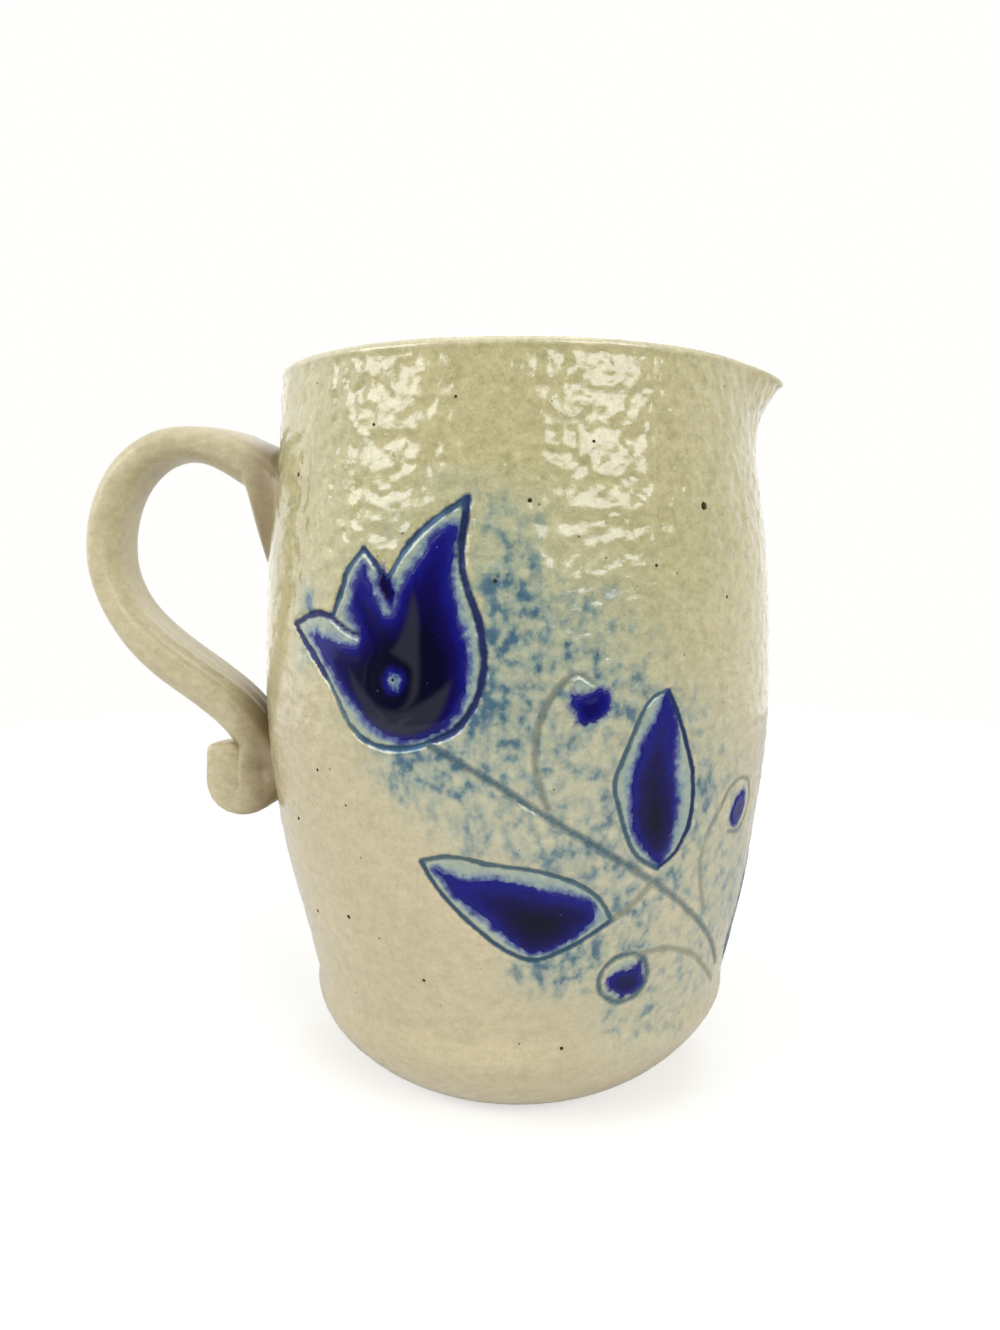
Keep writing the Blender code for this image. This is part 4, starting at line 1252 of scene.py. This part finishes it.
class CREAMER_OT_throw_body(bpy.types.Operator):
    """Turn the body, incise the spray and give it its salt-glazed skin"""

    bl_idname = "creamer.throw_body"
    bl_label = "Throw body"

    def execute(self, context):
        clay, cobalt = context.scene.creamer_clay, context.scene.creamer_cobalt
        angles = column_angles()
        count = len(angles)
        outer, inner = outer_rows(), inner_rows()
        points = [on_turn(radius, angles, height) for radius, height in outer]
        points += [on_turn(radius, angles[::2], height) for radius, height in inner]
        points += [np.array([[0.0, 0.0, 0.0], [0.0, 0.0, FLOOR_THICKNESS]])]
        points = np.concatenate(points)
        faces = []
        for row in range(len(outer) - 1):
            faces += ring_faces(row * count, (row + 1) * count, count)
        first_inner = len(outer) * count
        half = count // 2
        faces += thinning_faces(first_inner - count, first_inner, half)
        for row in range(len(inner) - 1):
            faces += ring_faces(first_inner + row * half, first_inner + (row + 1) * half, half)
        poles = len(points) - 2
        faces += fan_faces(0, count, poles, False)
        faces += fan_faces(poles - half, half, poles + 1, True)

        piece = new_piece("salt_glazed_body", pulled_lip(settled(points)), faces)
        turns = np.concatenate([np.tile(angles, len(outer)), np.tile(angles[::2], len(inner)), [0.0, 0.0]])
        across, up = turns * BELLY_RADIUS / MM, points[:, 2] / MM
        is_outer = np.arange(len(points)) < first_inner
        drawn = is_outer & (across <= SPRAY_RIGHT) & (up > SPRAY_LOW) & (up < SPRAY_HIGH)
        found = spray_values(np.stack([across, up], 1)[drawn])
        for name, plain in PLAIN_VALUES.items():
            values = np.full(len(points), plain)
            values[drawn] = found[name]
            put_values(piece.data, name, values)
        spots = np.zeros(len(points))
        for spot_across, spot_up, radius in IRON_SPOTS:
            away = np.hypot(across - spot_across, up - spot_up) + FAR_AWAY * ~is_outer
            spots[np.argmin(away)] = radius * MM
        put_values(piece.data, "spot_radius", spots)
        put_values(piece.data, "peel_share", peel_shares(up, is_outer))

        glaze = shared("salt_glaze", salt_glaze_group)
        fray = shared("frayed_edge", frayed_edge_group)
        shaped_by(piece, shared("salt_skin", salt_skin_tree), {
            "Peel Size": clay.peel_size, "Peel Depth": clay.peel_depth, "Ring Pitch": clay.ring_pitch,
            "Ring Depth": clay.ring_depth, "Stroke Depth": clay.stroke_depth, "Bowl Depth": clay.bowl_depth,
            "Pocket Depth": POCKET_DEPTH, "Skin Drop": SKIN_DROP,
            "Finish": body_material(clay, cobalt, glaze, fray),
        })
        stand_in_for(piece, "body_stoneware", "thrown_body")
        return {"FINISHED"}


def squared(wave, power):
    """Wave between -1 and 1 whose rounds are made squarer by a power below 1."""
    return np.sign(wave) * np.abs(wave) ** power


def strap_line():
    """Middle line of the strap in the XZ plane, in even steps from inside the upper wall to the tip."""
    join = (-wall_radius(JOIN_HEIGHT) + WALL_THICKNESS / 2, JOIN_HEIGHT)
    crown = (-wall_radius(CROWN_HEIGHT) - CROWN_OUT, CROWN_HEIGHT)
    back = (-BELLY_RADIUS - STANDOFF, BACK_HEIGHT)
    foot = (-(wall_radius(PRESS_HEIGHT) + STRAP_THICKNESS / 2 - PRESSED_IN), PRESS_HEIGHT)
    curl = (-(wall_radius(CURL_HEIGHT) + TAIL_THICKNESS / 2 - PRESSED_IN), CURL_HEIGHT)
    over = join[0] - crown[0]
    shoulder = crown[0] - back[0]
    fall = crown[1] - back[1]
    drop = back[1] - foot[1]
    run = foot[0] - back[0]
    press = foot[1] - curl[1]
    stretches = (
        (join, (join[0] - 0.35 * over, join[1] + 0.7 * (crown[1] - join[1])),
         (crown[0] + 0.35 * over, crown[1]), crown),
        (crown, (crown[0] - 0.58 * shoulder, crown[1]), (back[0], back[1] + 0.54 * fall), back),
        (back, (back[0], back[1] - 0.51 * drop), (foot[0] - 0.16 * run, foot[1] + 0.36 * drop), foot),
        (foot, (foot[0] + 0.02 * run, foot[1] - 0.3 * press), (curl[0], curl[1] + 0.35 * press), curl),
    )
    line = [bezier(knots, STRETCH_STEPS)[:-1] for knots in stretches]
    turn = np.linspace(0.0, math.pi, STRETCH_STEPS)
    middle = curl[0] - CURL_RADIUS
    swing = CURL_RADIUS * squared(np.cos(turn), CURL_SQUARENESS)
    dip = CURL_RADIUS * np.sin(turn) ** CURL_SQUARENESS
    line.append(np.stack([middle + swing, CURL_HEIGHT - dip], 1))
    line.append(np.array([(middle - CURL_RADIUS, CURL_HEIGHT + CURL_END)]))
    line = np.concatenate(line)
    length = path_length(line)[-1]
    joined = CROWN_OUT * JOINED_SHARE
    run_places = np.linspace(joined, length, int((length - joined) / STRAP_STEP))
    return along_path(line, np.concatenate([even_steps(0.0, joined, JOIN_STEP), run_places]))


def strap_rings(ridge_depth):
    """Rings of points across the strap: flared at the wall, ridged along its run, rounded at the tip."""
    line = strap_line()
    way = np.gradient(line, axis=0)
    way /= np.hypot(*way.T)[:, None]
    wall_face = -wall_radius(JOIN_HEIGHT)
    turn = np.linspace(0.0, 2 * math.pi, STRAP_SIDES, endpoint=False)
    cosine, sine = np.cos(turn), np.sin(turn)
    rings = []
    tip_steps = np.sin(np.linspace(0.0, math.pi / 2, TIP_RINGS + 1))[1:]
    stations = [(place, heading, 1.0, 0.0) for place, heading in zip(line, way)]
    stations += [(line[-1], way[-1], max(1.0 - step**4, TIP_END) ** 0.25, step) for step in tip_steps]
    for place, heading, narrow, beyond in stations:
        out_from_wall = max(wall_face - place[0], 0.0)
        upper = float(ease(place[1], BACK_HEIGHT - 2.0 * MM, BACK_HEIGHT + 2.0 * MM))
        flare = (1.0 - min(out_from_wall / CROWN_OUT, 1.0)) ** 2 * upper
        tongue = JOIN_TONGUE * (1.0 - float(ease(out_from_wall, 1.8 * MM, 4.4 * MM))) * upper
        on_tail = float(ease(place[1], PRESS_HEIGHT + 1.5 * MM, PRESS_HEIGHT - 2.5 * MM))
        diagonal = float(ease(place[1], BACK_HEIGHT - 5.0 * MM, BACK_HEIGHT - 17.0 * MM)) * (1.0 - on_tail)
        half = (STRAP_THICKNESS + (TAIL_THICKNESS - STRAP_THICKNESS) * on_tail) / 2
        outer_half = (half + JOIN_RISE * flare + DIAGONAL_SWELL * diagonal + TAIL_CLOSING * on_tail) * narrow
        inner_half = (half + JOIN_FALL * flare + tongue) * narrow
        half_width = STRAP_WIDTH / 2 + (JOIN_WIDTH - STRAP_WIDTH) / 2 * flare
        outside = on_tail * (place[0] < TAIL_OUTSIDE)
        half_width -= TAIL_THICKNESS / 2 * (1.0 - narrow) + TAIL_NARROWING * outside
        middle = place + heading * beyond * TAIL_THICKNESS / 2 * TIP_SHARE
        lean = float(ease(out_from_wall, 2.0 * MM, 9.0 * MM)) if upper > 0.5 else 1.0
        out = np.array([heading[1] * lean, 0.0, -heading[0] * lean + 1.0 - lean])
        out /= np.linalg.norm(out)
        square = STRAP_SQUARENESS + 0.2 * flare + (TAIL_SQUARENESS - STRAP_SQUARENESS) * on_tail
        across, through = squared(cosine, square), squared(sine, square)
        furrow = 0.5 - 0.5 * np.cos(across * 4.0 * math.pi)
        furrow *= np.where(through < 0, 1.0, 0.3) * np.abs(through) * ridge_depth * diagonal
        depth = np.where(through > 0, through * outer_half - furrow, through * inner_half + furrow)
        depth += TAIL_WOBBLE * on_tail * narrow * np.sin(2.0 * turn + 900.0 * place[0] + 700.0 * place[1])
        ring = np.array([middle[0], 0.0, middle[1]]) + depth[:, None] * out
        ring[:, 1] += across * half_width
        rings.append(ring)
    return np.array(rings)


class CREAMER_OT_pull_handle(bpy.types.Operator):
    """Pull the strap handle and wipe it onto the wall"""

    bl_idname = "creamer.pull_handle"
    bl_label = "Pull handle"

    def execute(self, context):
        strap = context.scene.creamer_strap
        rings = strap_rings(strap.ridge_depth)
        middles = np.repeat(rings.mean(1), STRAP_SIDES, axis=0)
        points = rings.reshape(-1, 3)
        radius = np.hypot(points[:, 0], points[:, 1])
        gap = radius - wall_radius(points[:, 2])
        radial = np.stack([points[:, 0] / radius, points[:, 1] / radius, np.zeros(len(points))], 1)
        aside = points - middles
        aside -= (aside * radial).sum(1)[:, None] * radial
        aside /= np.maximum(np.linalg.norm(aside, axis=1), 1e-9)[:, None]
        wiped = WIPE_SPREAD * (1.0 - np.clip(gap / WIPE_REACH, 0.0, 1.0)) ** 2
        wiped *= 1.0 - 0.9 * ease(aside[:, 2], 0.1, 0.7)
        points = points + aside * wiped[:, None]
        radius = np.hypot(points[:, 0], points[:, 1])
        tip = ease(points[:, 2], CURL_HEIGHT - 1.0 * MM, CURL_HEIGHT + 3.0 * MM)
        tip *= ease(points[:, 0], -43.0 * MM, -45.0 * MM)
        points[:, 2] -= TIP_SLANT * points[:, 1] * tip * (points[:, 2] < PRESS_HEIGHT)
        thumb = np.hypot(points[:, 0] - TAIL_THUMB[0], points[:, 2] - TAIL_THUMB[1])
        points[:, 1] += TAIL_THUMB_DEPTH * bell(thumb, TAIL_THUMB_REACH) * (points[:, 1] < 0)
        ridge = gap_to(np.array(TAIL_RIDGE), points[:, ::2])
        points[:, 1] -= TAIL_RIDGE_HEIGHT * ease(ridge, TAIL_RIDGE_REACH, 0.0) * (points[:, 1] < 0)
        sunk = wall_radius(points[:, 2]) - STRAP_SINK
        points[:, :2] *= (np.maximum(radius, sunk) / radius)[:, None]

        count = STRAP_SIDES
        faces = []
        for row in range(len(rings) - 1):
            faces += ring_faces(row * count, (row + 1) * count, count)
        start, end = len(points), len(points) + 1
        caps = np.array([points[:count].mean(0), points[-count:].mean(0)])
        faces += fan_faces(0, count, start, False)
        faces += fan_faces((len(rings) - 1) * count, count, end, True)
        piece = new_piece("salt_glazed_handle", np.concatenate([points, caps]), faces)
        shaped = bmesh.new()
        shaped.from_mesh(piece.data)
        bmesh.ops.recalc_face_normals(shaped, faces=shaped.faces)
        shaped.to_mesh(piece.data)
        shaped.free()
        height = points[:, 2]
        # Brown joints, partly painted shade where the strap nears the wall; painted shade along the tail's
        # inner side, in the thumb dimple and, by the last cap point, on the tail's end face
        low = ease(height, PRESS_HEIGHT + 15.0 * MM, PRESS_HEIGHT + 6.0 * MM)
        joint_and_shade = ease(gap / (JOINT_REACH + LOW_JOINT_REACH * low), 1.0, 0.15) * ease(gap, -0.3 * MM, 0.5 * MM)
        tail_wall_shade = ease(height, PRESS_HEIGHT, CURL_HEIGHT) * ease(points[:, 0], -45.0 * MM, -41.0 * MM)
        thumb_shade = bell(thumb, TAIL_THUMB_SHADE)
        joint_and_shade = np.concatenate([np.maximum(joint_and_shade, np.maximum(0.3 * tail_wall_shade, thumb_shade)), [0.0, 0.5]])
        put_values(piece.data, "joint_and_shade_share", joint_and_shade)
        put_values(piece.data, "peel_share", np.full(len(joint_and_shade), STRAP_PEEL_SHARE))
        for name, plain in PLAIN_VALUES.items():
            put_values(piece.data, name, np.full(len(joint_and_shade), plain))
        shaped_by(piece, shared("salt_skin", salt_skin_tree), {
            "Peel Size": STRAP_PEEL_SIZE, "Peel Depth": STRAP_PEEL_DEPTH,
            "Finish": strap_material(strap, shared("salt_glaze", salt_glaze_group)),
        })
        stand_in_for(piece, "handle_stoneware", "pulled_handle")
        return {"FINISHED"}


def pool_plate(outline):
    """Places and triangles that fill a drawn outline."""
    edge = even_path(outline, POOL_STEP)
    low, high = outline.min(0), outline.max(0)
    columns = np.arange(low[0], high[0], POOL_STEP)
    rows = np.arange(low[1], high[1], POOL_STEP * 0.87)
    grid = np.array([
        (column + (index % 2) * POOL_STEP / 2, row) for index, row in enumerate(rows) for column in columns])
    closed = np.concatenate([edge, edge[:1]])
    grid = grid[signed_gap(closed, grid) < -0.55 * POOL_STEP]
    places = np.concatenate([edge, grid])
    loop = [(index, (index + 1) % len(edge)) for index in range(len(edge))]
    filled = delaunay_2d_cdt([Vector(place) for place in places], loop, [list(range(len(edge)))], 1, 1e-5)
    return np.array([tuple(place) for place in filled[0]]), [tuple(face) for face in filled[2]], closed


def softened(values, triangles, rounds):
    """Values evened out between neighbours, so that no crease runs along the middle of a pool."""
    corners = np.array(triangles)
    starts = corners.ravel()
    ends = np.roll(corners, -1, axis=1).ravel()
    starts, ends = np.concatenate([starts, ends]), np.concatenate([ends, starts])
    count = np.bincount(starts, minlength=len(values))
    for _ in range(rounds):
        around = np.bincount(starts, weights=values[ends], minlength=len(values)) / np.maximum(count, 1)
        values = np.where(values > 0, 0.5 * values + 0.5 * around, 0.0)
    return values


def pool_piece(name, outline, sag, hollow):
    """Closed piece of cobalt glass in its hollow."""
    places, triangles, closed = pool_plate(outline)
    depth = softened(np.maximum(-signed_gap(closed, places), 0.0), triangles, SOFTENING_ROUNDS)
    low, high = places[:, 1].min(), places[:, 1].max()
    fall = (places[:, 1] - low) / (high - low)
    shallow = hollow_share(places[:, 0])
    hollow = hollow * shallow * (BUD_HOLLOW_SHARE if name.startswith("cobalt_bud") else 1.0)
    sunk = ease(fall, 0.0, 0.4)
    surface = -hollow - GLASS_DROP + GLASS_EDGE_RISE * ease(depth, 0.0, 0.4)
    surface -= sag * shallow * sunk * ease(depth, 0.0, 3.2)
    surface += GLASS_SWELL * shallow * (1.0 - sunk) * (1.0 - (1.0 - np.clip(depth / 3.0, 0.0, 1.0)) ** 2)
    eye = np.full(len(places), FAR_AWAY)
    painted_reflection = np.zeros(len(places))
    if name == "cobalt_tulip":
        eye = np.hypot(*(places - np.array(EYE)).T)
        surface += EYE_RISE * ease(eye, 2.2, 0.8) - EYE_PIT * ease(eye, 0.4, 0.1)
        for ripple in RIPPLES:
            surface += RIPPLE_HEIGHT * ease(gap_to(drawn_curve(ripple, False), places), 0.6, 0.0)
        # Painted reflections: a grey streak and a crescent on the tulip's glass
        for reflection_outline in PAINTED_REFLECTIONS:
            painted_reflection = np.maximum(painted_reflection, ease(signed_gap(drawn_curve(reflection_outline, True), places), 0.5, -0.5))
    angle = places[:, 0] * MM / BELLY_RADIUS
    height = places[:, 1] * MM
    top = settled(on_turn(wall_radius(height) + surface, angle, height))
    bed = settled(on_turn(wall_radius(height) - hollow - PLATE_THICKNESS, angle, height))
    count = len(places)
    faces = triangles + [tuple(count + index for index in reversed(face)) for face in triangles]
    sides = [side for face in triangles for side in zip(face, face[1:] + face[:1])]
    inner_sides = {(end, start) for start, end in sides}
    faces += [
        (end, start, count + start, count + end) for start, end in sides if (start, end) not in inner_sides]
    piece = new_piece(name + "_glass", np.concatenate([top, bed]), faces)
    base, steep = GLASS_DEEPENING.get(name, PLAIN_DEEPENING)
    put_values(piece.data, "glass_depth", np.tile(depth * (base + steep * (1.0 - fall) ** 2), 2))
    put_values(piece.data, "eye_gap", np.tile(eye, 2))
    put_values(piece.data, "painted_reflection_share", np.tile(painted_reflection, 2))
    return piece


class CREAMER_OT_pour_cobalt(bpy.types.Operator):
    """Lay the cobalt glass in its hollows"""

    bl_idname = "creamer.pour_cobalt"
    bl_label = "Pour cobalt"

    def execute(self, context):
        clay, cobalt = context.scene.creamer_clay, context.scene.creamer_cobalt
        glass = glass_material(cobalt, shared("frayed_edge", frayed_edge_group))
        for name, outline in pool_outlines().items():
            piece = pool_piece(name, outline, cobalt.pool_sag, clay.bowl_depth)
            piece.data.materials.append(glass)
            stand_in_for(piece, "cobalt_glass", name)
        return {"FINISHED"}


class CREAMER_OT_scatter_iron(bpy.types.Operator):
    """Scatter iron specks over the wall"""

    bl_idname = "creamer.scatter_iron"
    bl_label = "Scatter iron specks"

    def execute(self, context):
        clay = context.scene.creamer_clay
        body = bpy.data.objects["salt_glazed_body"]
        piece = bpy.data.objects.new("iron_specks", body.data.copy())
        piece.data.materials.clear()
        context.scene.collection.objects.link(piece)
        shaped_by(piece, shared("iron_specks", iron_speck_tree), {
            "Density": clay.speck_density, "Smallest": SMALLEST_SPECK, "Largest": LARGEST_SPECK,
            "Seed": clay.speck_seed, "Finish": iron_material(),
        })
        stand_in_for(piece, "body_stoneware")
        return {"FINISHED"}


def soft_box(name, azimuth, elevation, distance, width, height, level):
    """Area lamp that faces the middle of the jug from a direction, with an even bright face."""
    lamp = bpy.data.lights.new(name, "AREA")
    lamp.shape = "RECTANGLE"
    lamp.size = width
    lamp.size_y = height
    lamp.energy = level * math.pi * width * height
    lamp.color = LAMP_COLOUR
    holder = bpy.data.objects.new(name, lamp)
    turn, rise = math.radians(azimuth), math.radians(elevation)
    away = Vector((math.sin(turn) * math.cos(rise), -math.cos(turn) * math.cos(rise), math.sin(rise)))
    holder.location = Vector((0.0, 0.0, LAMP_AIM)) + away * distance
    holder.rotation_euler = away.to_track_quat("Z", "Y").to_euler()
    holder.visible_camera = False
    bpy.context.scene.collection.objects.link(holder)


def studio_world(stage):
    """White surroundings for the camera, even fill light, and a dimmer room side in reflections."""
    world = bpy.data.worlds.new("studio")
    world.use_nodes = True
    desk = NodeDesk(world.node_tree)
    background = world.node_tree.nodes["Background"]
    rays = desk.add("ShaderNodeLightPath").outputs
    aim = desk.add("ShaderNodeTexCoord").outputs["Generated"]
    depth = desk.add("ShaderNodeSeparateXYZ", {0: aim}).outputs["Y"]
    mirrored = desk.ease(depth, -0.75, 0.4, 0.12, 1.4)
    glossy = desk.most(rays["Is Glossy Ray"], rays["Is Transmission Ray"])
    level = desk.total(stage.fill_level, desk.times(glossy, desk.less(mirrored, stage.fill_level)))
    seen = rays["Is Camera Ray"]
    level = desk.total(desk.times(level, desk.less(1.0, seen)), seen)
    desk.put(background.inputs["Strength"], level)
    desk.put(background.inputs["Color"], SURROUND_COLOUR)
    bpy.context.scene.world = world


def floor_material(stage):
    """Pale matt floor that fades into the white surroundings."""
    material, desk, shader = new_material("pale_floor")
    place = desk.place()
    grain = desk.noise(place, 0.002)
    tone = desk.blend(desk.times(grain, 0.06), stage.floor_colour, FLOOR_GRAIN_COLOUR)
    desk.put(shader.inputs["Base Color"], tone)
    shader.inputs["Roughness"].default_value = FLOOR_ROUGHNESS
    shader.inputs["Specular IOR Level"].default_value = FLOOR_SHINE
    seen = desk.add("ShaderNodeLightPath").outputs["Is Camera Ray"]
    far = desk.add("ShaderNodeVectorMath", {0: place}, operation="LENGTH").outputs["Value"]
    white = desk.add("ShaderNodeEmission", {"Color": WHITE, "Strength": 1.0}).outputs[0]
    lift = desk.add("ShaderNodeEmission", {"Color": FLOOR_LIFT_COLOUR, "Strength": desk.times(seen, 0.3)})
    lit = desk.add("ShaderNodeAddShader", {0: shader.outputs[0], 1: lift.outputs[0]}).outputs[0]
    fade = desk.times(desk.ease(far, 0.08, 0.3, 0.4, 1.0), seen)
    mixed = desk.add("ShaderNodeMixShader", {0: fade, 1: lit, 2: white}).outputs[0]
    desk.put(material.node_tree.nodes["Material Output"].inputs["Surface"], mixed)
    return material


class CREAMER_OT_set_stage(bpy.types.Operator):
    """Set the floor, the soft light and the camera"""

    bl_idname = "creamer.set_stage"
    bl_label = "Set stage"

    def execute(self, context):
        stage = context.scene.creamer_stage
        disc = bmesh.new()
        bmesh.ops.create_circle(disc, cap_ends=True, segments=STAGE_SIDES, radius=STAGE_RADIUS)
        mesh = bpy.data.meshes.new("pale_floor")
        disc.to_mesh(mesh)
        disc.free()
        floor = bpy.data.objects.new("pale_floor", mesh)
        mesh.materials.append(floor_material(stage))
        context.scene.collection.objects.link(floor)

        studio_world(stage)
        for name, (*place, share) in SOFT_BOXES.items():
            soft_box(name, *place, stage.lamp_level * share)

        lens = bpy.data.cameras.new("camera")
        lens.sensor_width = SENSOR
        lens.lens = SENSOR * IMAGE_WIDTH / IMAGE_HEIGHT
        lens.clip_start = NEAREST_SEEN
        camera = bpy.data.objects.new("camera", lens)
        camera.location = (stage.eye_aside, -stage.eye_distance, stage.eye_height)
        camera.rotation_euler = (math.radians(90.0) - stage.eye_tilt, 0.0, 0.0)
        context.scene.collection.objects.link(camera)
        context.scene.camera = camera
        context.scene.view_settings.view_transform = "Standard"
        return {"FINISHED"}


class CREAMER_PT_sidebar(bpy.types.Panel):
    """Sizes, colours and building steps of the creamer"""

    bl_idname = "CREAMER_PT_sidebar"
    bl_label = "Creamer"
    bl_space_type = "VIEW_3D"
    bl_region_type = "UI"
    bl_category = "Creamer"

    def draw(self, context):
        for group in SETTINGS:
            box = self.layout.box()
            settings = getattr(context.scene, group)
            for name in settings.__annotations__:
                box.prop(settings, name)
        for step in STEPS:
            self.layout.operator(step.bl_idname)


SETTINGS = {
    "creamer_clay": CreamerClay,
    "creamer_cobalt": CreamerCobalt,
    "creamer_strap": CreamerStrap,
    "creamer_stage": CreamerStage,
}
STEPS = (
    CREAMER_OT_throw_body,
    CREAMER_OT_pull_handle,
    CREAMER_OT_pour_cobalt,
    CREAMER_OT_scatter_iron,
    CREAMER_OT_set_stage,
)


def register():
    for name, group in SETTINGS.items():
        bpy.utils.register_class(group)
        setattr(bpy.types.Scene, name, PointerProperty(type=group))
    for step in STEPS:
        bpy.utils.register_class(step)
    bpy.utils.register_class(CREAMER_PT_sidebar)


def unregister():
    bpy.utils.unregister_class(CREAMER_PT_sidebar)
    for step in reversed(STEPS):
        bpy.utils.unregister_class(step)
    for name, group in reversed(SETTINGS.items()):
        delattr(bpy.types.Scene, name)
        bpy.utils.unregister_class(group)


def main():
    register()
    bpy.ops.creamer.throw_body()
    bpy.ops.creamer.pull_handle()
    bpy.ops.creamer.pour_cobalt()
    bpy.ops.creamer.scatter_iron()
    bpy.ops.creamer.set_stage()


if __name__ == "__main__":
    main()
